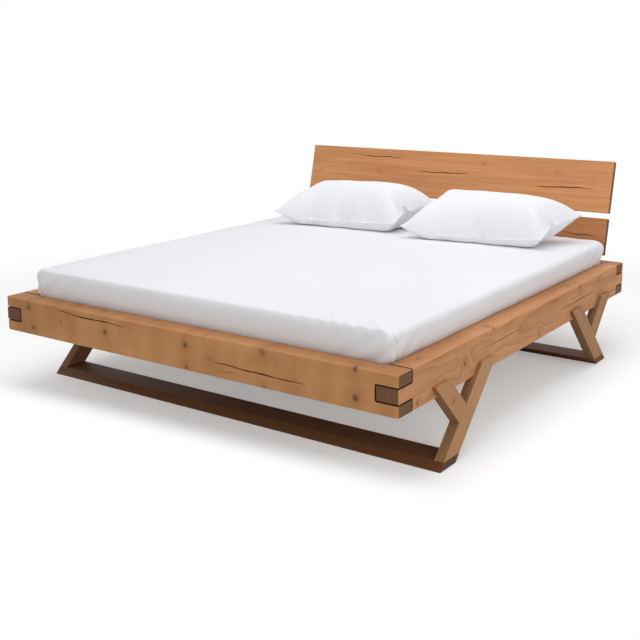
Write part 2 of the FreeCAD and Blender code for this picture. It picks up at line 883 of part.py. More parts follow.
foot_bolt_reach = size("foot_bolt_length") / 2
foot_bolt_places = [((0.0, 0.0, centre_low - foot_bolt_reach), UP)]
foot_bolt_drill = drills("foot_bolt_drill", leg_bolt_radius + thread_play,
                         size("foot_bolt_length") + hole_play, foot_bolt_places)
copies("centre_foot_bolt", rod("foot_bolt_pattern", leg_bolt_radius, size("foot_bolt_length"),
                               (0.0, 0.0, 0.0), UP), foot_bolt_places)
centre_beam_half = inner_y - size("centre_beam_play")
centre_bar = block("centre_bar",
                   (centre_half * 2, centre_beam_half * 2, size("centre_beam_height")),
                   (-centre_half, -centre_beam_half, centre_low))
keep_moved("centre_beam", cut_with("centre_beam", centre_bar, [foot_bolt_drill]))


def make_centre_foot():
    """A square post with chamfered corners between the glide and the centre beam."""
    body = new_body("centre_foot_blank")
    half = size("centre_foot_width") / 2
    bevel = size("centre_foot_chamfer")
    corners = [(-half, -half + bevel), (-half + bevel, -half), (half - bevel, -half),
               (half, -half + bevel), (half, half - bevel), (half - bevel, half),
               (-half + bevel, half), (-half, half - bevel)]
    add_pad(body, add_outline(body, "XY_Plane", corners), centre_low - size("glide_height"))
    body.setExpression("Placement.Base.z", size("glide_height").formula)
    return body


keep_moved("centre_foot", cut_with("centre_foot", make_centre_foot(), [foot_bolt_drill]))
glide_radius = size("glide_radius")
glide_height = size("glide_height")
glide_bevel = glide_height / 3
keep_moved("centre_foot_glide", add_revolved("centre_foot_glide_body", [
    (0.0, 0.0), (glide_radius - glide_bevel, 0.0), (glide_radius, glide_bevel),
    (glide_radius, glide_height), (0.0, glide_height)]))

# headboard: two boards on two leaning posts that are tenoned and pegged into the head beam
lean_radians = math.radians(lean.value)
half_spread = size("post_spacing") / 2
tenon_half = size("post_tenon_thickness") / 2
tenon_middle_y = board_face_y + (board_thickness + post_back) / 2 / cosine(lean)
peg_level = beam_top - size("post_tenon_length") / 2
peg_radius = size("peg_radius")
peg_length = outer_y - tenon_middle_y + tenon_half + size("peg_bite")
peg_places = [((half_spread * side, outer_y, peg_level), ALONG_MINUS_Y) for _, side in SIDES]
peg_drill = drills("peg_drill", peg_radius + thread_play, peg_length + hole_play, peg_places)
copies("headboard_pegs", rod("peg_pattern", peg_radius, peg_length, (0.0, 0.0, 0.0), UP),
       peg_places)

board_rows = [lower_board_low + size("lower_board_height") * share for share in (0.2, 0.8)]
board_rows += [upper_board_low + size("upper_board_height") * share for share in (0.12, 0.42, 0.72)]
board_screw_places = []
for side_name, side in SIDES:
    for row in board_rows:
        spot = (half_spread * side, slope_y(row, post_back), slope_z(row, post_back))
        into_board = FreeCAD.Vector(0, -math.cos(lean_radians), math.sin(lean_radians))
        board_screw_places.append((spot, FreeCAD.Rotation(Z_AXIS, into_board)))
board_screw_length = size("board_screw_length")
board_screw_drill = drills(
    "board_screw_drill", screw_hole_radius, board_screw_length + hole_play, board_screw_places)
copies("headboard_screws", screw_pattern("board_screw_pattern", board_screw_length),
       board_screw_places)


def make_board(label, low, high):
    """A headboard board, drawn upright and then leaned back about its lower edge line."""
    body = new_body(label + "_blank")
    half = size("headboard_width") / 2
    corners = [(-half, low), (half, low), (half, high), (-half, high)]
    add_pad(body, add_outline(body, "XZ_Plane", corners), board_thickness, backwards=True)
    add_edge_feature(body, "PartDesign::Fillet", "_round", size("board_round"), is_line)
    body.Placement = FreeCAD.Placement(FreeCAD.Vector(), FreeCAD.Rotation(-X_AXIS, lean.value))
    body.setExpression("Placement.Rotation.Angle", "%s * 1 deg" % lean.formula)
    body.setExpression("Placement.Base.y", board_face_y.formula)
    body.setExpression("Placement.Base.z", beam_top.formula)
    return body


def make_post(label, side):
    """A leaning post with a level foot on the beam and an upright tenon below it."""
    body = new_body(label + "_blank")
    foot_front = board_face_y + board_thickness / cosine(lean)
    foot_back = board_face_y + post_back / cosine(lean)
    corners = [
        (foot_front, beam_top), (foot_back, beam_top),
        (slope_y(post_high, post_back), slope_z(post_high, post_back)),
        (slope_y(post_high, board_thickness), slope_z(post_high, board_thickness))]
    pad = add_pad(body, add_outline(body, "YZ_Plane", corners), size("post_width"))
    pad.Midplane = True
    low = beam_top - size("post_tenon_length")
    front, back = tenon_middle_y - tenon_half, tenon_middle_y + tenon_half
    corners = [(front, low), (back, low), (back, beam_top), (front, beam_top)]
    pad = add_pad(body, add_outline(body, "YZ_Plane", corners), size("post_tenon_width"))
    pad.Midplane = True
    body.setExpression("Placement.Base.x", (half_spread * side).formula)
    return body


def make_mortise(side):
    half_width = size("post_tenon_width") / 2 + joint_play
    depth = size("post_tenon_length") + hole_play
    return block("%s_mortise" % ("left" if side < 0 else "right"),
                 (half_width * 2, (tenon_half + joint_play) * 2, depth),
                 (half_spread * side - half_width, tenon_middle_y - tenon_half - joint_play,
                  beam_top - depth))


board_bodies = {
    "headboard_lower_board": make_board("headboard_lower_board", lower_board_low, lower_board_high),
    "headboard_upper_board": make_board("headboard_upper_board", upper_board_low, upper_board_high),
}
for label, body in board_bodies.items():
    keep_moved(label, cut_with(label, body, [board_screw_drill]))
for side_name, side in SIDES:
    label = "headboard_%s_post" % side_name
    keep_moved(label, cut_with(label, make_post(label, side), [board_screw_drill, peg_drill]))

# the four beams, the legs, the braces and the runners, each less the drills that pass it
for end_name, end in ENDS:
    label = end_name + "_beam"
    tools = [counterbore_drill, corner_hole_drill, corner_insert_drill, hanger_screw_drill]
    if end > 0:
        tools += [make_mortise(-1), make_mortise(1), peg_drill]
    keep_moved(label, cut_with(label, make_cross_beam(label, end), tools))
for side_name, side in SIDES:
    label = side_name + "_side_rail"
    tools = [corner_hole_drill, lap_hole_drill, ledger_screw_drill]
    keep_moved(label, cut_with(label, make_side_rail(label, side), tools))
for side_name, side in SIDES:
    for end_name, end in ENDS:
        label = "%s_%s_leg" % (end_name, side_name)
        leg = make_lapped_board(label, side, end, leg_outline)
        tools = [lap_insert_drill, dowel_drill, runner_screw_drill]
        keep_moved(label, cut_with(label, leg, tools))
        label = "%s_%s_brace" % (end_name, side_name)
        brace = make_lapped_board(label, side, end, brace_outline)
        keep_moved(label, cut_with(label, brace, [lap_insert_drill, dowel_drill]))
for end_name, end in ENDS:
    label = end_name + "_runner"
    tools = [runner_screw_drill, runner_head_drill]
    keep_moved(label, cut_with(label, make_runner(label, end), tools))

# mattress, fitted sheet and pillows
soft_play = size("soft_play").value
sheet_gauge = size("sheet_gauge").value
bed_level = base_top.value + soft_play + sheet_gauge + soft_play


def rounded_frame(half_x, half_y, corner, level):
    """A closed line round the middle with quarter circles at its corners, at one level."""
    edges = []
    for quarter in range(4):
        turn = math.radians(90 * quarter)
        turned_x = half_x if quarter % 2 == 0 else half_y
        turned_y = half_y if quarter % 2 == 0 else half_x

        def spot(x, y):
            cos, sin = math.cos(turn), math.sin(turn)
            return FreeCAD.Vector(x * cos - y * sin, x * sin + y * cos, level)

        start = spot(turned_x, turned_y - corner)
        halfway = corner * (1 - math.sqrt(0.5))
        middle = spot(turned_x - halfway, turned_y - halfway)
        end = spot(turned_x - corner, turned_y)
        edges.append(Part.LineSegment(spot(turned_x, corner - turned_y), start).toShape())
        edges.append(Part.Arc(start, middle, end).toShape())
    return Part.Wire(edges)


SIDE_LEVEL_SHARES = (0.0, 0.04, 0.13, 0.43, 0.71, 0.89, 0.95, 0.985, 1.0)
SIDE_DRAW_IN_SHARES = (1.0, 0.64, 0.41, 0.0, 0.0, 0.0, 0.0, 0.0, 0.0)
SIDE_BULGE_SHARES = (0.0, 0.0, 0.0, 0.22, 0.7, 1.0, 0.9, 0.47, 0.0)
CROWN_INSET_SHARES = (0.1, 0.3, 0.7)
CROWN_RISE_SHARES = (0.45, 0.8, 1.0)


def mattress_form(grow):
    """A mattress, narrow between the beams and full above them, grown all round."""
    height = size("mattress_height").value
    half_x = size("mattress_width").value / 2
    half_y = size("mattress_length").value / 2
    draw_in = size("mattress_draw_in").value
    side_bulge = size("mattress_side_bulge").value
    end_bulge = size("mattress_end_bulge").value
    corner = size("mattress_corner").value
    crown = size("mattress_crown").value
    rings = []
    for level_share, draw_in_share, bulge_share in zip(
            SIDE_LEVEL_SHARES, SIDE_DRAW_IN_SHARES, SIDE_BULGE_SHARES):
        inward = draw_in_share * draw_in - grow
        level = bed_level - grow + level_share * (height + grow + grow)
        rings.append((inward - bulge_share * side_bulge, inward - bulge_share * end_bulge, level))
    for inset_share, rise_share in zip(CROWN_INSET_SHARES, CROWN_RISE_SHARES):
        inset = inset_share * half_x - grow
        rings.append((inset, inset, bed_level + height + grow + rise_share * crown))
    wires = []
    for inset_x, inset_y, level in rings:
        corner_here = corner * (half_x - inset_x) / half_x
        wires.append(rounded_frame(half_x - inset_x, half_y - inset_y, corner_here, level))
    return Part.makeLoft(wires, True, True)


def add_soft(label, shape):
    item = doc.addObject("Part::Feature", label)
    item.Shape = shape
    item.Placement = FreeCAD.Placement(FreeCAD.Vector(0, origin_shift.value, 0), NO_TURN)
    return keep(label, item)


mattress_shape = mattress_form(0.0)
sheet_inside = mattress_form(soft_play)
sheet_outside = mattress_form(soft_play + sheet_gauge)
opening_x = size("mattress_width").value / 2 - size("sheet_turn_under").value
opening_y = size("mattress_length").value / 2 - size("sheet_turn_under").value
opening_low = bed_level - soft_play - sheet_gauge * 2
opening = Part.Face(rounded_frame(opening_x, opening_y, size("mattress_corner").value, opening_low))
opening = opening.extrude(FreeCAD.Vector(0, 0, sheet_gauge * 2 + soft_play))
add_soft("mattress", mattress_shape)
add_soft("fitted_sheet", sheet_outside.cut(sheet_inside).cut(opening))

PILLOW_DROPS = 3
PILLOW_WIDTH_SHARES = (1.0, 0.97, 0.9, 0.76, 0.52, 0.2)
PILLOW_DEPTH_SHARES = (1.0, 1.0, 0.985, 0.965, 0.95, 0.945)
PILLOW_FULL_SHARES = (0.0, 0.2, 0.46, 0.74, 0.93, 1.0)


def lens(x, half_depth, rise, belly):
    """A pillow's section: an upper and a lower arc that meet in the seams."""
    front = FreeCAD.Vector(x, -half_depth, 0)
    back = FreeCAD.Vector(x, half_depth, 0)
    top = Part.Arc(front, FreeCAD.Vector(x, 0, rise), back).toShape()
    bottom = Part.Arc(back, FreeCAD.Vector(x, 0, -belly), front).toShape()
    return Part.Wire([top, bottom])


def pillow_form(grow, stretch=0.0):
    """A plump pillow with drawn-in sides, grown all round, its right end stretched out."""
    half_width = size("pillow_width").value / 2
    half_depth = size("pillow_depth").value / 2
    edge = size("pillow_edge").value / 2
    rise = size("pillow_rise").value
    belly = size("pillow_belly").value
    wires = []
    for side in (-1, 1):
        rows = list(zip(PILLOW_WIDTH_SHARES, PILLOW_DEPTH_SHARES, PILLOW_FULL_SHARES))
        for width_share, depth_share, full_share in (rows if side < 0 else rows[::-1]):
            wires.append(lens(
                side * (half_width * width_share + grow), half_depth * depth_share + grow,
                edge + (rise - edge) * full_share + grow,
                edge + (belly - edge) * full_share + grow))
    form = Part.makeLoft(wires, True, False)
    if stretch > 0:
        mouth = lens(half_width + grow - stretch, half_depth * PILLOW_DEPTH_SHARES[0] - stretch,
                     edge, edge)
        form = form.fuse(Part.Face(mouth).extrude(FreeCAD.Vector(stretch * 2, 0, 0)))
    return form


def pillow_place(side_name):
    """The pillow leans back a little and is let down until its belly all but meets the sheet."""
    lift = size("pillow_depth").value
    x = size(side_name + "_pillow_x").value
    y = size("mattress_length").value / 2 - size(side_name + "_pillow_setback").value
    level = bed_level + size("mattress_height").value + lift
    turn = FreeCAD.Rotation(Z_AXIS, size(side_name + "_pillow_turn").value)
    tilt = FreeCAD.Rotation(X_AXIS, size(side_name + "_pillow_tilt").value)
    place = FreeCAD.Placement(FreeCAD.Vector(x, y, level), turn.multiply(tilt))
    skin = pillow_form(soft_play + case_gauge)
    for _ in range(PILLOW_DROPS):
        skin.Placement = place
        place.Base.z -= skin.distToShape(sheet_outside)[0] - soft_play
    return place


case_gauge = size("pillow_case_gauge").value
pillow_shape = pillow_form(0.0)
case_shape = pillow_form(soft_play + case_gauge).cut(pillow_form(soft_play, case_gauge * 4))
for side_name, side in SIDES:
    for label, shape in ((side_name + "_pillow", pillow_shape),
                         (side_name + "_pillowcase", case_shape)):
        place = pillow_place(side_name)
        place.Base.y += origin_shift.value
        item = doc.addObject("Part::Feature", label)
        item.Shape = shape
        item.Placement = place
        keep(label, item)

doc.recompute()
for item in doc.Objects:
    if "Invalid" in item.State or "Error" in item.State:
        raise RuntimeError("%s: %s" % (item.Label, item.State))
os.makedirs("parts", exist_ok=True)
facets = 0
for label, item in nodes.items():
    shape = item.Shape
    if shape.isNull() or not shape.isValid() or not shape.Solids:
        raise RuntimeError(label + " has no valid shape")
    facets += len(shape.tessellate(FACET_TOLERANCE)[1])
    shape.exportStep("parts/%s.step" % label)
print(len(nodes), "nodes,", facets, "facets")
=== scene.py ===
# %% [markdown]
# # A low double bed of squared timber
# This lesson dresses the measured model of a timber bed: planed beams with knots and drying
# cracks, Y-shaped legs on flat runners, a leaning headboard, a mattress in a fitted sheet and
# two pillows. The measured model gives every rigid piece its exact shape and place. Here each
# piece gets its wood, metal or cloth, and the soft pieces get their real forms.

# %% Load the measured model
import json
import math
import random
from functools import partialmethod

import bmesh
import bpy
import numpy as np
from mathutils import Matrix, Vector, noise


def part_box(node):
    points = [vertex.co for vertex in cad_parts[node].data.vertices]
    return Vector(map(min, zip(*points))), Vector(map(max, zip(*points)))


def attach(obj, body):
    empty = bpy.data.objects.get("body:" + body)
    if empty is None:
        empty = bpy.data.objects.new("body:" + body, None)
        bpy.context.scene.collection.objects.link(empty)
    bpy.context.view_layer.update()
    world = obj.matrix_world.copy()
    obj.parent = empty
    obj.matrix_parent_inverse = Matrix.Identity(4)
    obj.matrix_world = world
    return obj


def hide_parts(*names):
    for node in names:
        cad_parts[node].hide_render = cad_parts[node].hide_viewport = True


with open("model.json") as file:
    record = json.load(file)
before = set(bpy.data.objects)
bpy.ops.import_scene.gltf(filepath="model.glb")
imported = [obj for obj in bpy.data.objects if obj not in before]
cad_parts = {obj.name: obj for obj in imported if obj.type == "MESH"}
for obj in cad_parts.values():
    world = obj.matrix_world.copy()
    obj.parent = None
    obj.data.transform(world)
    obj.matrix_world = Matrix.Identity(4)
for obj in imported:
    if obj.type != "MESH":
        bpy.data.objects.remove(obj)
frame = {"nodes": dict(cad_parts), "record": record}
nodes = frame["nodes"]
scene = bpy.context.scene
for leftover in ("Cube", "Light", "Camera"):
    if leftover in bpy.data.objects:
        bpy.data.objects.remove(bpy.data.objects[leftover])
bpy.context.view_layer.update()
print("pieces in the measured model:", len(nodes))

# %% [markdown]
# ## The camera
# The picture was taken from the right of the foot end, from a standing person's eye height,
# with a slightly long lens. A lens that is shifted down keeps the legs upright while the
# camera looks at a low object, so part of the tilt is replaced by a shift.

# %% Stand the camera at the foot of the bed
EYE = Vector((2.6248, -3.8937, 1.4673))
YAW, PITCH, ROLL = (math.radians(angle) for angle in (35.1761, 9.8736, -0.3100))
SENSOR, FOCAL_LENGTH, SHIFT = 36.0, 56.907, -0.14
level_right = Vector((math.cos(YAW), math.sin(YAW), 0))
level_ahead = Vector((-math.sin(YAW), math.cos(YAW), 0))
ahead = level_ahead * math.cos(PITCH) - Vector((0, 0, math.sin(PITCH)))
upward = level_ahead * math.sin(PITCH) + Vector((0, 0, math.cos(PITCH)))
across = level_right * math.cos(ROLL) + upward * math.sin(ROLL)
upward = upward * math.cos(ROLL) - level_right * math.sin(ROLL)
lens = bpy.data.cameras.new("view")
lens.sensor_width, lens.lens, lens.shift_y = SENSOR, FOCAL_LENGTH, SHIFT
camera = bpy.data.objects.new("view", lens)
camera.matrix_world = Matrix((across, upward, -ahead)).transposed().to_4x4()
camera.location = EYE
scene.collection.objects.link(camera)
scene.camera = camera
print("camera at", [round(value, 2) for value in camera.location])

# %% [markdown]
# ## Helpers for materials
# Every finish below is a small network of shader nodes. A Wire is what one node gives. Adding
# to a wire, or multiplying it, puts the node that does so, and a few more words ease a value
# from one range to another, read noise at a place or mix two colours. So a network reads as
# the sum that it is.

# %% Put nodes, and reckon with what they give
def put(tree, kind, feeds=None, **settings):
    """Adds a node. A feed is a wire or a value, and a colour is three numbers."""
    made = tree.nodes.new(kind)
    for key, value in settings.items():
        setattr(made, key, value)
    for name, value in (feeds or {}).items():
        socket = made.inputs[name]
        if isinstance(value, Wire):
            tree.links.new(value.node.outputs[value.output], socket)
        else:
            socket.default_value = (*value, 1.0) if socket.type == "RGBA" else value
    return Wire(made)


class Wire:
    """What a node gives at one of its outputs, ready to be reckoned with."""

    def __init__(self, node, output=0):
        self.node, self.tree, self.output = node, node.id_data, output

    def out(self, output):
        """Another output of the same node."""
        return Wire(self.node, output)

    def math(self, operation, *others, kind="ShaderNodeMath", **settings):
        feeds = dict(enumerate((self, *others)))
        return put(self.tree, kind, feeds, operation=operation, **settings)

    def vector(self, operation, *others):
        made = self.math(operation, *others, kind="ShaderNodeVectorMath")
        return made.out("Value" if operation in ("LENGTH", "DOT_PRODUCT") else "Vector")

    __add__ = partialmethod(math, "ADD")
    __sub__ = partialmethod(math, "SUBTRACT")
    __mul__ = partialmethod(math, "MULTIPLY")
    __truediv__ = partialmethod(math, "DIVIDE")

    def ease(self, low, high, to_low=0.0, to_high=1.0):
        """Carries the value smoothly from one range to another."""
        return put(self.tree, "ShaderNodeMapRange", {
            "Value": self, "From Min": low, "From Max": high, "To Min": to_low,
            "To Max": to_high}, interpolation_type="SMOOTHSTEP")

    def cloudy(self, scale, seed, detail=2.0, rough=0.5):
        """Soft noise about a half. The scale is one number, or one for each axis."""
        place = self
        if isinstance(scale, tuple):
            place, scale = self.vector("MULTIPLY", scale), 1.0
        return put(self.tree, "ShaderNodeTexNoise", {
            "Vector": place, "W": seed, "Scale": scale, "Detail": detail,
            "Roughness": rough}, noise_dimensions="4D")

    def tint(self, first, second):
        """The first colour where the value is 0, and the second where it is 1."""
        feeds = {0: self, 6: first, 7: second}
        return put(self.tree, "ShaderNodeMix", feeds, data_type="RGBA").out(2)


# %% Start and end a network
def new_material(name, kind="ShaderNodeTexCoord", output="Object", **settings):
    """An empty material, its tree, and the place that its pattern is read at."""
    made = bpy.data.materials.new(name)
    made.use_nodes = True
    tree = made.node_tree
    tree.nodes.clear()
    return made, tree, put(tree, kind, **settings).out(output)


def new_group(name, kind, inputs, outputs):
    """An empty node group and its inputs as wires. Each socket has a name and a kind."""
    tree = bpy.data.node_groups.new(name, kind)
    for way, sockets in (("INPUT", inputs), ("OUTPUT", outputs)):
        for label, socket in sockets.items():
            tree.interface.new_socket(label, in_out=way, socket_type="NodeSocket" + socket)
    entry = put(tree, "NodeGroupInput")
    return tree, {label: entry.out(label) for label in inputs}


def finish_material(tree, colour, rough, height, depth, **more):
    """Ends a network in one shader, with its relief as a bump."""
    bump = put(tree, "ShaderNodeBump", {"Height": height, "Distance": depth})
    shader = put(tree, "ShaderNodeBsdfPrincipled", {
        "Base Color": colour, "Roughness": rough, "Normal": bump, "Specular IOR Level": 0.25,
        **more})
    put(tree, "ShaderNodeOutputMaterial", {"Surface": shader})


# %% [markdown]
# ## How timber gets its figure
# A board's grain is not painted on: it is the tree's growth rings, cut through. So the wood
# is made as a solid. Each point of a beam knows how far it lies from the middle of the tree,
# and the rings are read from that distance. Long faces then show long lines and arches, and
# ends show curved rings, because it is one pattern. Noise bends the rings as a tree does.

# %% The growth rings as a node group
FIGURE_PARTS = ("Rings", "Streak", "Cloud", "Fibre", "Mottle")


def make_ring_group():
    tree, given = new_group(
        "growth_rings", "ShaderNodeTree",
        {"Place": "Vector", "Shift": "Float", "Gap": "Float", "Seed": "Float"},
        dict.fromkeys(FIGURE_PARTS, "Float"))
    place, seed = given["Place"], given["Seed"]
    wander = place.cloudy((1.1, 3.2, 3.2), seed) * 0.11 - 0.055
    ripple = place.cloudy((4.2, 13.0, 13.0), seed) * 0.026 - 0.013
    radius = place.vector("MULTIPLY", (0.0, 1.0, 1.0)).vector("LENGTH") + wander + ripple
    turns = (radius + given["Shift"]) / given["Gap"]
    within = turns.math("FRACT")
    own = put(tree, "ShaderNodeTexWhiteNoise", {"W": turns.math("FLOOR") + seed},
              noise_dimensions="1D")
    late = within.math("POWER", 2.2) * within.ease(0.9, 1.0, 1.0, 0.0)
    put(tree, "NodeGroupOutput", {
        "Rings": late * (own * 0.7 + 0.3),
        "Streak": place.cloudy((1.7, 58.0, 58.0), seed, 3.0, 0.6),
        "Cloud": place.cloudy((1.6, 6.0, 6.0), seed),
        "Fibre": place.cloudy((6.0, 260.0, 260.0), seed),
        "Mottle": place.cloudy((15.0, 5.0, 5.0), seed, 1.0)})
    return tree


ring_group = make_ring_group()
print("growth rings:", len(ring_group.nodes), "nodes")

# %% [markdown]
# ## Knots
# A knot is the foot of a branch: a dark plug that runs from the middle of the tree out
# through the face, with the rings flowing round it. The group below works out how far a point
# is from the branch. Near it, the rings are pushed aside, and inside it the wood turns dark.
# Knots are chained one after another, each passing on the shift and darkness so far.

# %% One knot as a node group
def make_knot_group():
    tree, given = new_group(
        "knot", "ShaderNodeTree",
        {"Place": "Vector", "Middle": "Vector", "Branch": "Vector", "Radius": "Float",
         "Strength": "Float", "Shift": "Float", "Dark": "Float"},
        {"Shift": "Float", "Dark": "Float"})
    branch, radius = given["Branch"], given["Radius"]
    away = given["Place"].vector("SUBTRACT", given["Middle"])
    out = away.vector("DOT_PRODUCT", branch)
    along = put(tree, "ShaderNodeVectorMath", {0: branch, "Scale": out}, operation="SCALE")
    side = away.vector("SUBTRACT", along)
    far = side.vector("MULTIPLY", (0.98, 0.92, 0.92)).vector("LENGTH") / radius
    held = out.ease(-0.055, -0.04)
    spread = (far.math("POWER", 2.0) * -0.22).math("EXPONENT")
    shift = spread * radius * held * 1.5 + given["Shift"]
    core = far.ease(0.85, 0.30) * ((far * 17.0).math("SINE") * 0.10 + 0.85)
    halo = (far * -1.0).math("EXPONENT") * 0.60
    dark = core.math("MAXIMUM", halo) * given["Strength"] * held
    put(tree, "NodeGroupOutput", {"Shift": shift, "Dark": dark.math("MAXIMUM", given["Dark"])})
    return tree


knot_group = make_knot_group()
print("one knot:", len(knot_group.nodes), "nodes")

# %% [markdown]
# ## The finish of a timber
# Each timber has its own material, because each was cut from its own place in a tree. The
# network turns the object's coordinates so that the first one runs along the grain, chains
# the knots, reads the rings, and mixes the wood's pale and dark tones. Sawn ends drink more
# oil and dust, so they are darker and greyer. The tops and undersides of the two end beams,
# and the narrow faces of the legs and braces towards the foot and the head, are darkened as
# painted shade. Arrises are paler: partly rubbed wear, partly a painted highlight.

# %% Build a timber's material
PALE_WOOD, DARK_WOOD = (0.63, 0.300, 0.120), (0.37, 0.150, 0.050)
KNOT_WOOD = (0.105, 0.035, 0.008)
AS_IT_IS, SAWN_END = (1.0, 1.0, 1.0), (0.30, 0.28, 0.28)
# how strong the rings, streaks, clouds, fibres and mottle are, and then their means
PLAIN = (0.10, 0.30, 0.75, 0.16, 0.95)
WAVY = (0.55, 0.45, 0.95, 0.14, 0.15)
STREAKY = (0.20, 0.95, 0.55, 0.30, 0.10)
FIGURE_MEANS = (0.2, 0.5, 0.5, 0.5, 0.5)
MIDDLE_TONE, RUBBED_AND_LIT, ARRIS = 0.34, 1.12, (0.010, 0.001)
FACING = (0.72, 0.93)  # how squarely a face looks one way to count as an edge or an end


def grain_frame(direction):
    """A turn whose first axis runs along the grain."""
    first = Vector(direction).normalized()
    helper = Vector((0, 0, 1)) if abs(first.z) < 0.9 else Vector((1, 0, 0))
    second = helper.cross(first).normalized()
    return Matrix((first, second, first.cross(second))).transposed()


# edge is a colour multiplied in on the faces across the grain's third axis, as painted shade
def timber_finish(name, low, high, direction, knots, tint=AS_IT_IS, seed=0.0,
                  pith=(0.05, -0.12), gap=0.0075, figure=STREAKY, contrast=1.0, rough=0.5,
                  end=SAWN_END, edge=AS_IT_IS):
    """Wood for the timber between two corners, with its grain along a direction."""
    low, high = Vector(low), Vector(high)
    middle, turn = (low + high) / 2, grain_frame(direction)
    back = turn.transposed()
    material, tree, place = new_material(name)
    place = put(tree, "ShaderNodeMapping", {
        "Vector": place, "Location": middle, "Rotation": turn.to_euler()},
        vector_type="TEXTURE")
    jitter = put(tree, "ShaderNodeTexNoise", {
        "Vector": place.vector("MULTIPLY", (20.0, 60.0, 60.0)), "Scale": 1.0,
        "Detail": 1.0}).out("Color")
    shaken = place.vector("ADD", jitter.vector("MULTIPLY_ADD", (0.008,) * 3, (-0.004,) * 3))
    shift, dark = 0.0, 0.0
    for spot, branch, radius, strength in knots:
        knot = put(tree, "ShaderNodeGroup", node_tree=knot_group, feeds={
            "Place": shaken, "Middle": back @ (Vector(spot) - middle),
            "Branch": back @ Vector(branch), "Radius": radius, "Strength": strength,
            "Shift": shift, "Dark": dark})
        shift, dark = knot.out("Shift"), knot.out("Dark")
    rings = put(tree, "ShaderNodeGroup", node_tree=ring_group, feeds={
        "Place": place.vector("SUBTRACT", (0.0, *pith)), "Shift": shift, "Gap": gap,
        "Seed": seed})
    parts = [rings.out(label) for label in FIGURE_PARTS]
    ring, streak, _, fibre, _ = parts
    tone = MIDDLE_TONE
    for part, mean, strength in zip(parts, FIGURE_MEANS, figure):
        tone = (part - mean) * (strength * contrast) + tone
    tone = tone.math("ADD", 0.0, use_clamp=True)
    pale, deep = (tuple(value * share for value, share in zip(wood, tint))
                  for wood in (PALE_WOOD, DARK_WOOD))
    colour = tone.tint(pale, deep)
    normal = put(tree, "ShaderNodeNewGeometry").out("True Normal")
    # ends take the darker oiled end-grain colour; faces across the third axis take the edge colour,
    # which is painted shade
    for way, soak_and_shade in ((turn.col[2], edge), (turn.col[0], end)):
        facing = normal.vector("DOT_PRODUCT", way).math("ABSOLUTE")
        colour = facing.ease(*FACING).tint(colour, colour.vector("MULTIPLY", soak_and_shade))
    half = back @ (high - low) / 2
    split = put(tree, "ShaderNodeSeparateXYZ", {0: place})
    near_y, near_z = (split.out(axis).math("ABSOLUTE") * -1.0 + abs(half[axis])
                      for axis in (1, 2))
    # paler along every arris: partly rubbed wear, partly a painted highlight
    worn_and_lit = near_y.math("MAXIMUM", near_z).ease(*ARRIS) * (streak * 0.8 - 0.05)
    colour = worn_and_lit.tint(colour, tuple(min(value * RUBBED_AND_LIT, 1.0) for value in pale))
    if knots:
        colour = dark.math("MINIMUM", 0.96).tint(colour, KNOT_WOOD)
    finish_material(tree, colour, tone * 0.16 + rough, fibre * 0.35 + ring * 0.5, 0.0005)
    return material


# %% [markdown]
# ## Where the knots are
# The knots of the two faces in view are put where the picture shows them. Knots on the other
# faces come from a seeded draw, a few to a face, as in spruce or pine of this size.

# %% Choose knots for the other faces
FACES = {"front": (0, -1, 0), "back": (0, 1, 0), "right": (1, 0, 0), "left": (-1, 0, 0),
         "top": (0, 0, 1), "under": (0, 0, -1)}


def drawn_knots(low, high, faces, count, seed, radius=(0.006, 0.013)):
    """Knots strewn over some faces of a box."""
    draw = random.Random(seed)
    found = []
    for number in range(count):
        out = Vector(FACES[faces[number % len(faces)]])
        spot = Vector([draw.uniform(a + (b - a) * 0.08, b - (b - a) * 0.08)
                       for a, b in zip(low, high)])
        for axis in range(3):
            if out[axis]:
                spot[axis] = high[axis] if out[axis] > 0 else low[axis]
        found.append((spot, out, draw.uniform(*radius), draw.uniform(0.35, 0.95)))
    return found

# %% The knots that the picture shows
FOOT_FACE, RIGHT_FACE = -1.1448, 1.0
SEEN_FOOT_KNOTS = [  # X, level, radius and darkness
    (-0.855, 0.398, 0.0120, 1.0), (-0.831, 0.312, 0.0135, 1.0), (-0.650, 0.361, 0.0075, 0.81),
    (-0.385, 0.359, 0.0165, 1.0), (0.055, 0.377, 0.0180, 1.0), (0.058, 0.291, 0.0150, 0.7425),
    (0.429, 0.411, 0.0240, 0.6075), (0.179, 0.343, 0.0150, 0.405), (0.829, 0.421, 0.0135, 1.0),
    (0.829, 0.318, 0.0180, 1.0), (0.435, 0.281, 0.0135, 0.81)]
SEEN_RAIL_KNOTS = [  # Y, level, radius and darkness
    (-0.668, 0.345, 0.0180, 0.945), (-1.018, 0.296, 0.0090, 0.945),
    (-0.431, 0.426, 0.0150, 0.675), (0.469, 0.415, 0.0165, 0.81),
    (0.707, 0.404, 0.0135, 0.81), (0.014, 0.303, 0.0150, 0.81)]
foot_knots = [((x, FOOT_FACE, z), FACES["front"], *kind) for x, z, *kind in SEEN_FOOT_KNOTS]
rail_knots = [((RIGHT_FACE, y, z), FACES["right"], *kind) for y, z, *kind in SEEN_RAIL_KNOTS]
print("knots in view:", len(foot_knots) + len(rail_knots))

# %% Dress the frame's timbers
X_WAY, Y_WAY, Z_WAY = (1, 0, 0), (0, 1, 0), (0, 0, 1)
LEAN = math.radians(13.25)
POST_WAY = (0, math.sin(LEAN), math.cos(LEAN))


def wear(node, material):
    """Gives a measured piece its finish."""
    slots = nodes[node].data.materials
    slots.clear()
    slots.append(material)


def timber(node, direction, faces=(), count=0, draw=0, seen=(), **choices):
    """Dresses a timber, with the knots seen on it and a number strewn over some faces."""
    low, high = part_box(node)
    knots = [*seen, *drawn_knots(low, high, faces, count, draw)]
    wear(node, timber_finish("timber_" + node, low, high, direction, knots, **choices))


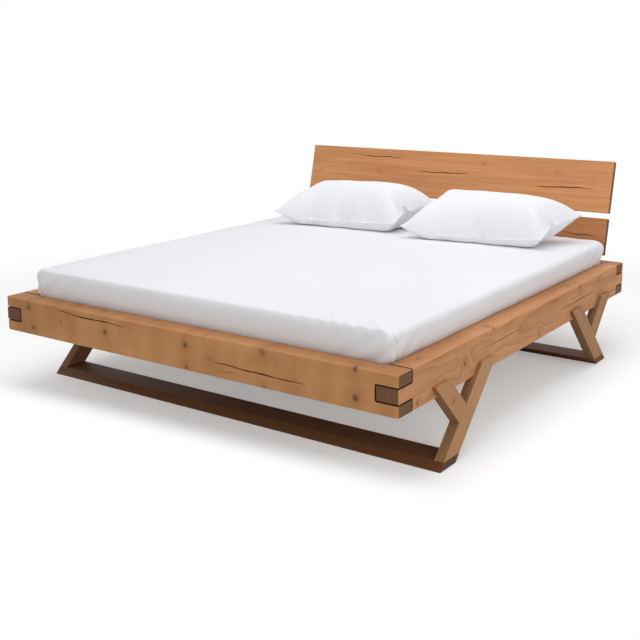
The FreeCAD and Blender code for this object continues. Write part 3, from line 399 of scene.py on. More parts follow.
HONEY, AMBER = (0.95, 0.95, 0.95), (0.91, 0.90, 0.93)
# edge darkens the foot beam's top and underside as painted shade
timber("foot_beam", X_WAY, ["top", "back", "under"], 6, 3, foot_knots, seed=11.0,
       tint=(0.86, 0.87, 0.82), pith=(0.09, -0.05), gap=0.009, figure=PLAIN,
       edge=(0.86, 0.82, 0.82))
timber("right_side_rail", Y_WAY, ["top", "left", "under"], 6, 5, rail_knots, seed=26.0,
       tint=AMBER, pith=(-0.14, 0.02), gap=0.016, figure=WAVY, contrast=1.4)
timber("left_side_rail", Y_WAY, ["left", "top", "right", "left"], 11, 7, seed=37.0,
       tint=AMBER, pith=(0.10, -0.06), gap=0.018, figure=WAVY, contrast=1.4)
# edge darkens the head beam's top and underside as painted shade
timber("head_beam", X_WAY, ["back", "top", "back", "front", "under"], 12, 9, seed=41.0,
       tint=AMBER, pith=(-0.09, 0.04), gap=0.014, figure=WAVY, edge=(0.80, 0.80, 0.84),
       end=(0.40, 0.34, 0.30))
print("beams dressed")

# %% Dress the headboard
for number, (part, direction, tint) in enumerate((
        ("upper_board", X_WAY, (1.08, 1.06, 1.10)), ("lower_board", X_WAY, (0.80, 0.74, 0.72)),
        ("left_post", POST_WAY, HONEY), ("right_post", POST_WAY, HONEY))):
    knot_count, contrast = (4, 1.35) if part.endswith("board") else (2, 1.0)
    timber("headboard_" + part, direction, ["back"], knot_count, 20 + number,
           seed=51.0 + 7 * number, tint=tint, pith=(-0.10, 0.02), gap=0.0065,
           contrast=contrast)
print("headboard dressed")

# %% Dress the legs, braces and runners
# the runners sit in the bed's shadow: these tints darken them as painted shade, the foot runner
# most
RUNNER_SHADE_TINTS = {"foot": (0.225, 0.20, 0.16), "head": (0.38, 0.26, 0.15)}
# the runners' end grain, then the painted shade on the legs' and braces' faces towards the foot and
# head
RUNNER_END, LEG_SIDE_SHADE = (0.85, 0.80, 0.75), (0.66, 0.67, 0.68)
# leg and brace tints differ by corner as painted shade: darkest on the far left, in the bed's
# shadow
LEG_SHADE_TINTS = {"foot_left": (0.45, 0.44, 0.46), "head_left": (0.60, 0.62, 0.66),
             "foot_right": (0.78, 0.87, 0.98), "head_right": (0.66, 0.74, 0.84)}
BRACE_SHADE_TINTS = {**LEG_SHADE_TINTS, "foot_right": (0.75, 0.79, 0.83), "head_right": (0.64, 0.70, 0.80)}
for number, (end, slope) in enumerate((("foot", 1), ("head", -1))):
    timber(end + "_runner", X_WAY, ["top", "front", "back"], 7, 61 + number,
           seed=61.0 + number, tint=RUNNER_SHADE_TINTS[end], gap=0.008, contrast=0.7,
           end=RUNNER_END)
    for other, side in enumerate(("left", "right")):
        corner, draw = end + "_" + side, 71 + 4 * number + other
        timber(corner + "_leg", (0, slope, 1), [side, "top"], 2, draw, seed=draw,
               tint=LEG_SHADE_TINTS[corner], pith=(0.05, 0.04), gap=0.007, edge=LEG_SIDE_SHADE)
        timber(corner + "_brace", (0, -slope, 1), [side, "top"], 1, draw + 20,
               seed=draw + 9.5, tint=BRACE_SHADE_TINTS[corner], pith=(0.06, -0.03), gap=0.007,
               edge=LEG_SIDE_SHADE)
print("legs and runners dressed")

# %% Dress the slatted base
BASE_TINT, PEG_TINT, SLAT_COUNT = (1.12, 1.35, 1.75), (1.2, 1.5, 2.0), 14
slat_wood = timber_finish("timber_slats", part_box("slat_01")[0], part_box("slat_14")[1], X_WAY, [],
                          tint=BASE_TINT, seed=90.0, pith=(0.3, -0.25), gap=0.006, rough=0.6)
for number in range(SLAT_COUNT):
    wear("slat_%02d" % (number + 1), slat_wood)
for number, (node, direction) in enumerate((
        ("left_ledger", Y_WAY), ("right_ledger", Y_WAY), ("centre_beam", Y_WAY),
        ("centre_foot", Z_WAY))):
    timber(node, direction, ["under", "right"], 3, 91 + number, seed=91.0 + number,
           tint=BASE_TINT, gap=0.006, rough=0.6)
timber("brace_dowels", (0, 1, 1), seed=97.0, tint=PEG_TINT, gap=0.003, rough=0.6)
timber("headboard_pegs", Y_WAY, seed=98.0, tint=PEG_TINT, gap=0.003, rough=0.6)
print("slatted base dressed")

# %% [markdown]
# ## Drying cracks
# Thick beams check as they dry: long thin spindles open along the grain. They are real gaps
# with depth, so they are cut, not drawn. Each cutter is a thin wavy wedge, widest in the
# middle and pointed at both ends, and a boolean takes it from a merged copy of the timber.
# The cut faces keep the cutter's own dark finish: partly dust, partly painted shade deep in the
# crack.

# %% The finishes inside cracks and joints, darkened with painted shade
def make_crack_finish(name, dark, pale):
    material, tree, place = new_material(name)
    patch = place.cloudy(90.0, 1.0)
    finish_material(tree, patch.tint(dark, pale), 0.85, patch, 0.0006)
    return material


crack_dust_and_shade = make_crack_finish("crack_dust_and_shade", (0.10, 0.036, 0.013), (0.19, 0.075, 0.029))
joint_shade_wood = make_crack_finish("joint_shade_wood", (0.022, 0.010, 0.005), (0.050, 0.022, 0.010))

# %% Shape the cutters
GROOVE_WIDE, GROOVE_DEEP = 0.0032, 0.014
CRACK_STEPS, PROUD = 30, 0.002
THINNEST, SHALLOWEST = 0.00012, 0.0004


def drift(x, y, z):
    """Soft noise about zero at a place."""
    return noise.noise(Vector((x, y, z)))


def add_crack(mesh, seed, start, end, outward, half_width=GROOVE_WIDE, depth=GROOVE_DEEP):
    """Adds one thin wedge along a line on a face. Without a seed it is a straight groove."""
    start, end, outward = Vector(start), Vector(end), Vector(outward).normalized()
    crosswise = outward.cross((end - start).normalized())
    count = 1 if seed is None else CRACK_STEPS
    rows = []
    for step in range(count + 1):
        share = step / count
        wide, deep, wave, lean = half_width, depth, 0.0, 0.0
        if seed is not None:
            full = max(math.sin(math.pi * share), 0.0) ** 0.6
            wave = drift(share * 3.5, seed, 0.0) * half_width * 2.0
            wide = half_width * full * (0.9 + 0.5 * drift(share * 8.0, 0.0, seed)) + THINNEST
            deep = depth * full ** 0.6 + SHALLOWEST
            lean = drift(seed, share * 4.0, 3.0) * deep * 0.5
        middle = start.lerp(end, share) + crosswise * wave
        rows.append([mesh.verts.new(middle + crosswise * wide + outward * PROUD),
                     mesh.verts.new(middle - crosswise * wide + outward * PROUD),
                     mesh.verts.new(middle + crosswise * lean - outward * deep)])
    for one, two in zip(rows, rows[1:]):
        for a, b in ((0, 1), (1, 2), (2, 0)):
            mesh.faces.new((one[a], one[b], two[b], two[a]))
    mesh.faces.new(rows[0][::-1])
    mesh.faces.new(rows[-1])


# %% Turn what is made into meshes
def smooth_faces(data):
    data.polygons.foreach_set("use_smooth", [True] * len(data.polygons))


def to_object(name, mesh, *materials):
    """An object in the scene from a mesh that is being edited."""
    data = bpy.data.meshes.new(name)
    mesh.to_mesh(data)
    mesh.free()
    for material in materials:
        data.materials.append(material)
    made = bpy.data.objects.new(name, data)
    scene.collection.objects.link(made)
    return made


def merged_mesh(node):
    """The measured piece with shared corners."""
    mesh = bmesh.new()
    mesh.from_mesh(nodes[node].data)
    bmesh.ops.remove_doubles(mesh, verts=mesh.verts, dist=1e-6)
    return mesh


def plain_mesh(made):
    """Turns an object's modifiers into its mesh."""
    shown = made.evaluated_get(bpy.context.evaluated_depsgraph_get())
    data = bpy.data.meshes.new_from_object(shown)
    made.modifiers.clear()
    made.data = data


# %% Cut the cracks out of a merged copy
def crack_timber(node, cracks, joints=()):
    """Cuts the cracks, then each set of joint lines, out of a copy that takes the node's place."""
    made = to_object(node + "_checked", merged_mesh(node), nodes[node].data.materials[0])
    for number, lines in enumerate((cracks, *joints)):
        mesh = bmesh.new()
        for place, line in enumerate(lines):
            add_crack(mesh, None if number else place * 3.7 + 1.3, *line)
        # joint grooves take the near-black painted shade; cracks take the dusty finish with painted
        # shade
        cutters = to_object(node + "_cutters", mesh, joint_shade_wood if number else crack_dust_and_shade)
        cut = made.modifiers.new("cracks", "BOOLEAN")
        cut.object, cut.operation, cut.solver = cutters, "DIFFERENCE", "MANIFOLD"
        cut.material_mode = "TRANSFER"
        plain_mesh(made)
        bpy.data.objects.remove(cutters)
    smooth_faces(made.data)
    made.data.set_sharp_from_angle(angle=math.radians(32))
    level = made.modifiers.new("level", "WEIGHTED_NORMAL")
    level.keep_sharp, level.weight = True, 100
    plain_mesh(made)
    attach(made, "frame")
    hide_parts(node)
    print(made.name, len(made.data.polygons), "faces,", len(cracks), "cracks")


# %% [markdown]
# The corner joints are cut a hair loose and their edges are eased, so a thin dark line runs
# round every finger. Those lines are straight grooves, and their faces take a near-black
# finish that is painted shade in the gap. Grooves that meet are cut one set after the other,
# because a boolean wants cutters that do not cross.

# %% The lines round the corner joints
FRONT, BACK, RIGHT, LEFT, UP = (FACES[way] for way in ("front", "back", "right", "left", "top"))
BEAM_TOP, BEAM_LOW = 0.429, 0.276
SLOT_X, OUTER_X = 0.9097, 1.0
FINGER_LOW, FINGER_HIGH = 0.3234, 0.3811
END_FACES = {"foot": (-1.1448, -1.0548), "head": (1.0552, 0.9652)}  # outer and inner
BEYOND = 0.004


def joint_lines(ends, sides):
    """Four sets of grooves round the joints at these ends and sides."""
    sets = [[], [], [], []]
    for end in ends:
        outer, inner = END_FACES[end]
        face, past = (FRONT, -BEYOND) if end == "foot" else (BACK, BEYOND)
        for side in sides:
            slot, edge, out = SLOT_X * side, OUTER_X * side, (side, 0, 0)
            over = edge + BEYOND * side
            for level in (FINGER_LOW, FINGER_HIGH):
                sets[0].append(((slot, outer, level), (over, outer, level), face))
                sets[1].append(((edge, outer + past, level), (edge, inner, level), out))
            sets[2] += [((slot, outer, FINGER_LOW), (slot, outer, FINGER_HIGH), face),
                        ((edge, inner, BEAM_LOW - BEYOND), (edge, inner, FINGER_LOW), out),
                        ((edge, inner, FINGER_HIGH), (edge, inner, BEAM_TOP + BEYOND), out)]
            sets[3].append(((slot, inner, BEAM_TOP), (over, inner, BEAM_TOP), UP))
    return sets


print("joint lines:", sum(len(lines) for lines in joint_lines(END_FACES, (-1, 1))))

# %% The cracks of the beams and rails
crack_timber("foot_beam", [
    ((-0.685, FOOT_FACE, 0.407), (-0.262, FOOT_FACE, 0.398), FRONT, 0.0030, 0.028),
    ((0.188, FOOT_FACE, 0.333), (0.630, FOOT_FACE, 0.326), FRONT, 0.0031, 0.030),
    ((0.225, FOOT_FACE, 0.307), (0.295, FOOT_FACE, 0.306), FRONT, 0.0009, 0.008),
    ((-0.555, -1.090, BEAM_TOP), (-0.320, -1.092, BEAM_TOP), UP, 0.0014, 0.014),
    ((0.10, -1.0548, 0.35), (0.52, -1.0548, 0.345), BACK, 0.0016, 0.020)],
    joint_lines(["foot"], (-1, 1)))
crack_timber("right_side_rail", [
    ((RIGHT_FACE, -0.525, 0.366), (RIGHT_FACE, -0.161, 0.367), RIGHT, 0.0014, 0.020),
    ((RIGHT_FACE, 0.245, 0.352), (RIGHT_FACE, 0.679, 0.363), RIGHT, 0.0022, 0.030),
    ((0.95, 0.12, BEAM_TOP), (0.948, 0.50, BEAM_TOP), UP, 0.0012, 0.014)],
    joint_lines(("foot", "head"), [1]))
crack_timber("left_side_rail", [
    ((-RIGHT_FACE, -0.38, 0.371), (-RIGHT_FACE, 0.03, 0.366), LEFT, 0.0022, 0.026),
    ((-RIGHT_FACE, 0.16, 0.322), (-RIGHT_FACE, 0.56, 0.327), LEFT, 0.0014, 0.018)],
    joint_lines(("foot", "head"), [-1]))
crack_timber("head_beam", [
    ((-0.78, 1.0552, 0.375), (-0.31, 1.0552, 0.368), BACK, 0.0024, 0.030),
    ((0.02, 1.0552, 0.318), (0.50, 1.0552, 0.322), BACK, 0.0018, 0.022)],
    joint_lines(["head"], (-1, 1)))

# %% The cracks of the headboard
BOARD_FOOT = Vector((0, 0.9732, 0.429))
BOARD_OUT = Vector((0, -math.cos(LEAN), math.sin(LEAN)))
BOARD_UP = Vector((0, math.sin(LEAN), math.cos(LEAN)))
BOARD_THICK = 0.032


def on_board(x, up, behind=0.0):
    return BOARD_FOOT + Vector((x, 0, 0)) + BOARD_UP * up - BOARD_OUT * behind


crack_timber("headboard_upper_board", [
    (on_board(-0.659, 0.471), on_board(-0.290, 0.466), BOARD_OUT, 0.0026, 0.012),
    (on_board(-0.200, 0.3935), on_board(0.130, 0.4025), BOARD_OUT, 0.0028, 0.012),
    (on_board(0.511, 0.3625), on_board(0.830, 0.3695), BOARD_OUT, 0.0028, 0.012),
    (on_board(0.653, 0.394), on_board(0.744, 0.3895), BOARD_OUT, 0.0007, 0.006),
    (on_board(-0.80, 0.350), on_board(-0.657, 0.353), BOARD_OUT, 0.0007, 0.006),
    (on_board(-0.30, 0.43, BOARD_THICK), on_board(0.12, 0.424, BOARD_THICK), -BOARD_OUT,
     0.0016, 0.012)])
crack_timber("headboard_lower_board", [
    (on_board(0.688, 0.137), on_board(0.875, 0.132), BOARD_OUT, 0.0026, 0.014),
    (on_board(-0.52, 0.12, BOARD_THICK), on_board(-0.14, 0.125, BOARD_THICK), -BOARD_OUT,
     0.0015, 0.012)])

# %% [markdown]
# ## Zinc-plated steel
# Bolts, washers, inserts, hangers and screws are zinc-plated: a cool grey metal, patchy where
# the plating crystallised, a little duller in places.

# %% Metal and glide finishes
def make_zinc():
    material, tree, place = new_material("zinc_plate")
    cell = put(tree, "ShaderNodeTexVoronoi", {"Vector": place, "Scale": 260.0}).out("Color")
    stain = place.cloudy(45.0, 2.0, 3.0)
    tone = put(tree, "ShaderNodeSeparateColor", {0: cell}) * 0.35 + stain * 0.6
    colour = tone.tint((0.44, 0.45, 0.46), (0.70, 0.71, 0.72))
    finish_material(tree, colour, stain * 0.25 + 0.24, tone, 0.0001, Metallic=1.0)
    return material


def make_nylon():
    material, tree, place = new_material("glide_nylon")
    scuff = place.cloudy(60.0, 4.0, 3.0)
    colour = scuff.tint((0.030, 0.030, 0.032), (0.085, 0.083, 0.080))
    finish_material(tree, colour, scuff * 0.3 + 0.4, place.cloudy(900.0, 3.0), 0.0002)
    return material


zinc_plate = make_zinc()
for subpart in frame["record"]["subparts"]:
    if subpart["material_slot"] == "zinc_steel":
        wear(subpart["node"], zinc_plate)
wear("centre_foot_glide", make_nylon())
print("metal dressed")

# %% [markdown]
# ## Screws
# The measured screws are plain turned shapes. A real one has a tapered head with a six-sided
# socket, and a thread. There are many of them, so one screw is built by Geometry Nodes and set
# at every place. A point for each screw carries the way it points.

# %% One geometry tree for every screw
SCREW_SIZES = {"Head radius": 0.0046, "Head height": 0.0026, "Shank radius": 0.0022,
               "Length": 0.03, "Socket radius": 0.0021, "Thread pitch": 0.0026}


def make_screw_tree():
    tree, given = new_group(
        "screws", "GeometryNodeTree",
        {"Geometry": "Geometry", **dict.fromkeys(SCREW_SIZES, "Float"), "Finish": "Material"},
        {"Geometry": "Geometry"})
    for item in tree.interface.items_tree:
        if item.name in SCREW_SIZES:
            item.default_value = SCREW_SIZES[item.name]
    tall, thick, length = given["Head height"], given["Shank radius"], given["Length"]

    def lifted(part, height):
        offset = put(tree, "ShaderNodeCombineXYZ", {"Z": height})
        return put(tree, "GeometryNodeTransform", {
            "Geometry": part, "Translation": offset})

    pan = put(tree, "GeometryNodeMeshCone", {
        "Vertices": 20, "Radius Top": given["Head radius"] * 0.72,
        "Radius Bottom": given["Head radius"], "Depth": tall})
    socket = put(tree, "GeometryNodeMeshCylinder", {
        "Vertices": 6, "Radius": given["Socket radius"], "Depth": tall * 0.9})
    head = put(tree, "GeometryNodeMeshBoolean", {
        "Mesh 1": pan, "Mesh 2": lifted(socket, tall * 0.85)}, operation="DIFFERENCE")
    shank = put(tree, "GeometryNodeMeshCone", {
        "Vertices": 10, "Radius Top": thick * 0.8, "Radius Bottom": thick * 0.25,
        "Depth": length})
    coil = put(tree, "GeometryNodeCurveSpiral", {
        "Resolution": 9, "Rotations": length * 0.7 / given["Thread pitch"],
        "Start Radius": thick * 0.7, "End Radius": thick * 0.85, "Height": length * 0.7})
    ridge = put(tree, "GeometryNodeCurvePrimitiveCircle", {
        "Resolution": 3, "Radius": thick * 0.2})
    thread = put(tree, "GeometryNodeCurveToMesh", {
        "Curve": coil, "Profile Curve": ridge})
    whole = put(tree, "GeometryNodeJoinGeometry")
    for part in (head, lifted(shank, length * -1.0), lifted(thread, length * -0.93)):
        tree.links.new(part.node.outputs[0], whole.node.inputs[0])
    way = put(tree, "GeometryNodeInputNamedAttribute", {"Name": "way"},
              data_type="FLOAT_VECTOR")
    turned = put(tree, "FunctionNodeAlignRotationToVector", {"Vector": way}, axis="Z")
    spots = put(tree, "GeometryNodeInstanceOnPoints", {
        "Points": given["Geometry"], "Instance": whole, "Rotation": turned})
    real = put(tree, "GeometryNodeRealizeInstances", {0: spots})
    dressed = put(tree, "GeometryNodeSetMaterial", {
        "Geometry": real, "Material": given["Finish"]})
    put(tree, "NodeGroupOutput", {"Geometry": dressed})
    return tree


screw_tree = make_screw_tree()
print("screw tree:", len(screw_tree.nodes), "nodes")


# %% Find each measured screw and set a real one there
def separate_pieces(node):
    """The points of each separate solid in a measured group."""
    mesh = merged_mesh(node)
    found, met = [], set()
    for first in mesh.verts:
        if first in met:
            continue
        met.add(first)
        front, group = [first], []
        while front:
            point = front.pop()
            group.append(point.co.copy())
            near = [edge.other_vert(point) for edge in point.link_edges]
            front += [other for other in near if other not in met]
            met.update(near)
        found.append(np.array(group))
    mesh.free()
    return found


def screw_line(points):
    """Where a screw's head is seated, the way it points out, and its length under the head."""
    middle = points.mean(0)
    way = np.linalg.svd(points - middle)[2][0]
    along = (points - middle) @ way
    off = np.linalg.norm(points - middle - np.outer(along, way), axis=1)
    if along[off.argmax()] < (along.max() + along.min()) / 2:
        way, along = -way, -along
    wide = off > off.max() * 0.9
    seat, tip = along[wide].min(), along.min()
    return middle + way * seat, way, seat - tip, along.max() - seat


def real_screws(node):
    lines = [screw_line(points) for points in separate_pieces(node)]
    data = bpy.data.meshes.new(node + "_threaded")
    data.from_pydata([Vector(seat) for seat, _, _, _ in lines], [], [])
    ways = data.attributes.new("way", "FLOAT_VECTOR", "POINT")
    for number, (_, way, _, _) in enumerate(lines):
        ways.data[number].vector = way
    made = bpy.data.objects.new(node + "_threaded", data)
    scene.collection.objects.link(made)
    build = made.modifiers.new("screws", "NODES")
    build.node_group = screw_tree
    chosen = {"Length": lines[0][2], "Head height": lines[0][3], "Finish": zinc_plate}
    for item in screw_tree.interface.items_tree:
        if item.name in chosen:
            build[item.identifier] = chosen[item.name]
    plain_mesh(made)
    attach(made, "frame")
    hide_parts(node)
    print(made.name, len(lines), "screws", len(made.data.polygons), "faces")


for carrier in ("runner", "ledger", "slat", "hanger", "headboard"):
    real_screws(carrier + "_screws")

# %% [markdown]
# ## Cotton
# Sheet and pillowcases are plain-woven cotton: over-and-under threads about half a
# millimetre apart, a soft slub here and there, a matt surface with a little fuzz at grazing
# angles. The weave follows the cloth's own flat cut, so it is read from a UV map in metres.

# %% Build the cotton finishes
def cotton(name, colour, thread=0.0006):
    material, tree, flat = new_material(name, "ShaderNodeUVMap", "UV", uv_map="cut")
    split = put(tree, "ShaderNodeSeparateXYZ", {0: flat})
    warp, weft = ((split.out(axis) * (2 * math.pi / thread)).math("SINE") for axis in (0, 1))
    weave = warp * weft * 0.5 + 0.5
    slub = flat.cloudy((40.0, 900.0, 1.0), 5.0)
    wash = flat.cloudy(7.0, 6.0, 3.0)
    tone = weave * 0.25 + (slub * 0.35 + wash * 0.4)
    colour = tone.tint(tuple(value * 0.94 for value in colour), colour)
    finish_material(tree, colour, tone * 0.1 + 0.82, slub * 0.4 + weave * 0.6, 0.00025,
                    **{"Sheen Weight": 0.12, "Sheen Roughness": 0.5})
    return material


sheet_cotton = cotton("sheet_cotton", (0.835, 0.845, 0.880))
case_cotton = cotton("pillowcase_cotton", (0.870, 0.878, 0.908))
ticking_cotton = cotton("mattress_ticking", (0.86, 0.86, 0.84), thread=0.0012)
print("cotton finishes made")

# %% [markdown]
# ## The mattress form
# Mattress and sheet share one form: rounded rectangles stacked from the underside, round the
# lower edge, up the side, which swells where it clears the beams, round the upper edge and in
# over a low crown. A smooth curve runs through the measured rings. Every ring has as many
# points, so the rings join into an even grid of quads that folds can be pressed into.

# %% Rings of the mattress form
HALF_X, HALF_Y, BED_Y = 0.900, 1.000, -0.0448
BED_LOW, BED_TALL, CORNER = 0.3416, 0.202, 0.032
SIDE_RINGS = [  # how far outside the plain rectangle in X and in Y, and the level
    (-0.0220, -0.0220, 0.0), (-0.0141, -0.0141, 0.0081), (-0.0090, -0.0090, 0.0263),
    (0.0040, 0.0010, 0.0780), (0.0140, 0.0060, 0.0950), (0.0215, 0.0095, 0.1090),
    (0.0265, 0.0112, 0.1434), (0.0290, 0.0116, 0.1740), (0.0250, 0.0100, 0.1890),
    (0.0135, 0.0055, 0.1985), (0.0, 0.0, 0.2020)]
TOP_RINGS = [(-0.09, -0.09, 0.2038), (-0.27, -0.27, 0.2052), (-0.63, -0.63, 0.2060)]
POINTS_X, POINTS_Y, POINTS_CORNER = 120, 130, 22
# the left side swells less, so that its upper part stands upright
LEFT_LEAN, LEAN_FROM, LEAN_OVER = 0.014, 0.08, 0.10


def smooth_line(points, steps):
    """A smooth curve through points, as a list of finer points."""
    points = [np.array(point, float) for point in points]
    padded = [2 * points[0] - points[1]] + points + [2 * points[-1] - points[-2]]
    line = []
    for a, b, c, d in zip(padded, padded[1:], padded[2:], padded[3:]):
        for step in range(steps):
            t = step / steps
            line.append(0.5 * ((2 * b) + (c - a) * t + (2 * a - 5 * b + 4 * c - d) * t * t
                               + (3 * b - a - 3 * c + d) * t ** 3))
    return line + [points[-1]]


def ring_points(out_x, out_y, level, grow):
    """One rounded rectangle as a row of points."""
    half_x, half_y = HALF_X + out_x + grow, HALF_Y + out_y + grow
    corner = max(CORNER * (HALF_X + out_x) / HALF_X, 0.0004) + max(grow, 0)
    corner = min(corner, half_x * 0.9)
    spots = []
    for quarter in range(4):
        wide, long = (half_x, half_y) if quarter % 2 == 0 else (half_y, half_x)
        count = POINTS_Y if quarter % 2 == 0 else POINTS_X
        turn = math.pi / 2 * quarter
        row = [(wide, -(long - corner) + (long - corner) * 2 * step / count)
               for step in range(count)]
        for step in range(POINTS_CORNER):
            angle = math.pi / 2 * step / POINTS_CORNER
            row.append((wide - corner + corner * math.cos(angle),
                        long - corner + corner * math.sin(angle)))
        spots += [(x * math.cos(turn) - y * math.sin(turn), x * math.sin(turn) + y * math.cos(turn))
                  for x, y in row]
    lean = LEFT_LEAN * min(max((level - BED_LOW - LEAN_FROM) / LEAN_OVER, 0.0), 1.0)
    return np.array([(x + lean * max(-x / HALF_X, 0.0) ** 3, y + BED_Y, level) for x, y in spots])


ROUND = len(ring_points(0, 0, 0, 0))
print("points round each ring:", ROUND)


# %% Turn rings into a mesh
def rings_mesh(name, rings, material, close_first):
    """Quads between rings, the last one closed, with a UV map of the flat cut in metres."""
    count = rings.shape[1]
    mesh = bmesh.new()
    cut = mesh.loops.layers.uv.new("cut")
    grid = [[mesh.verts.new(point) for point in ring] for ring in rings]
    along = np.concatenate([[0], np.cumsum(np.linalg.norm(np.diff(rings, axis=0), axis=2).mean(1))])
    around = np.concatenate([[0], np.cumsum(np.linalg.norm(
        np.roll(rings, -1, 1) - rings, axis=2).max(0))])
    for row in range(len(grid) - 1):
        for step in range(count):
            after = (step + 1) % count
            face = mesh.faces.new((grid[row][step], grid[row][after],
                                   grid[row + 1][after], grid[row + 1][step]))
            places = ((step, row), (step + 1, row), (step + 1, row + 1), (step, row + 1))
            for loop, (u, v) in zip(face.loops, places):
                loop[cut].uv = (around[u], along[v])
    for ring in [grid[0][::-1], grid[-1]] if close_first else [grid[-1]]:
        face = mesh.faces.new(ring)
        for loop in face.loops:
            loop[cut].uv = loop.vert.co.xy
    bmesh.ops.triangulate(mesh, faces=[face for face in mesh.faces if len(face.verts) > 4])
    made = to_object(name, mesh, material)
    smooth_faces(made.data)
    return made


def ring_normals(rings):
    """Outward directions of a stack of rings."""
    upward = np.gradient(rings, axis=0)
    around = np.roll(rings, -1, 1) - np.roll(rings, 1, 1)
    normals = np.cross(around, upward)
    return normals / np.maximum(np.linalg.norm(normals, axis=2, keepdims=True), 1e-9)


# %% [markdown]
# ## The mattress
# Under the sheet is an ordinary mattress. Only its quilted underside can be seen, between the
# slats or when it is lifted out: ticking stitched down in diamonds, so that each one puffs.

# %% Make the mattress core
DIAMOND, STITCH_DEEP, CORE_INSET, CORE_SHARE = 0.16, 0.0045, 0.004, 0.97


def quilted(x, y):
    """How far the ticking is pulled in by its diamond stitching, from 0 to 1."""
    one, two = (x + y) / DIAMOND, (x - y) / DIAMOND
    near = min(abs(one - round(one)), abs(two - round(two)))
    return max(0.0, 1.0 - near * 5.0) ** 2


def make_mattress():
    inner = [(out, out, 0.0) for out in np.linspace(0.012 - HALF_X, -0.038, 69)]
    line = inner + smooth_line(SIDE_RINGS, 3) + smooth_line(TOP_RINGS, 4)[1:]
    line.append((-0.88, -0.88, 0.206))
    rings = np.array([
        ring_points(out_x, out_y, BED_LOW + 0.0004 + level * CORE_SHARE, -CORE_INSET)
        for out_x, out_y, level in line])
    for row in range(len(inner)):
        for point in rings[row]:
            point[2] += STITCH_DEEP * quilted(point[0], point[1] - BED_Y)
    made = rings_mesh("mattress_core", rings, ticking_cotton, close_first=True)
    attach(made, "mattress")
    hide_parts("mattress")
    print("mattress:", len(made.data.polygons), "faces")
    return made


mattress_core = make_mattress()

# %% [markdown]
# ## The fitted sheet
# A fitted sheet is one flat cloth with a dart sewn at each corner and elastic in its hem,
# which gathers it under the mattress. It is stretched, so its top is smooth, its upper edge
# wavers a little, its sides carry soft upright folds near the corners, and a seam runs down
# each corner. Those folds are pressed into the even grid along its normals. A thin wall makes
# it cloth.

# %% Press the folds of the sheet
CORNER_MIDDLES, start = [], 0
for straight in (POINTS_Y, POINTS_X) * 2:
    CORNER_MIDDLES.append(start + straight + POINTS_CORNER // 2)
    start += straight + POINTS_CORNER
FRONT_FOLDS = ((0.300, 0.016, 0.0042), (-0.090, 0.022, 0.0026), (-0.520, 0.030, 0.0020))


def hill(value, wide):
    """A soft bump that is 1 at zero."""
    return math.exp(-(value / wide) ** 2)


def sheet_fold(point, level_share, from_seam, walked, seed):
    """How far the sheet stands out here, in metres. from_seam is the way round to a corner."""
    x, y, z = point
    inset = max(min(HALF_X - abs(x), HALF_Y - abs(y - BED_Y)), 0.0)
    edge = hill(level_share - 0.96, 0.07) * hill(inset, 0.035)
    side = math.exp(-((level_share - 0.62) / 0.34) ** 4) * hill(inset, 0.030)
    drop = max(1 - level_share, 0.0)
    # the upper edge wavers
    scallop = math.sin(walked * 2 * math.pi / 0.062 + 3.0 * drift(walked * 4, 0, seed))
    out = 0.0022 * edge * scallop * (0.5 + drift(walked * 1.7, 4.0, seed))
    out += 0.0030 * edge * drift(x * 3.1, y * 3.1, seed)
    # the sewn corner: a slanting crease with a fold on either side
    crease = from_seam - 0.055 * drop + 0.004
    out -= 0.0060 * side * hill(crease, 0.0065)
    out += 0.0050 * side * hill(crease + 0.020 + 0.06 * drop, 0.014)
    out += 0.0024 * side * hill(crease - 0.024, 0.012)
    near = math.exp(-abs(from_seam) / 0.14)
    out += 0.0038 * side * near * math.sin(from_seam * 52.0 + drop * 14.0)
    # soft folds down the sides and across them
    out += 0.0038 * side * drift(x * 6.5, y * 6.5, z * 1.8 + seed)
    out += 0.0028 * side * drift(x * 2.2, y * 2.2, z * 17.0 + seed)
    if y < BED_Y - HALF_Y * 0.98:
        for middle, wide, high in FRONT_FOLDS:
            out += high * side * hill(x - middle + 0.05 * drop, wide)
    return out + 0.0016 * (0.3 + side) * drift(x * 1.6, y * 1.6, z * 1.6 + seed + 4.0)


# %% Make the sheet
TURNED_UNDER, CLOTH_THICK, CLEAR = 0.130, 0.0008, 0.0013
GATHER_HIGH, GATHER_APART = 0.0032, 0.021


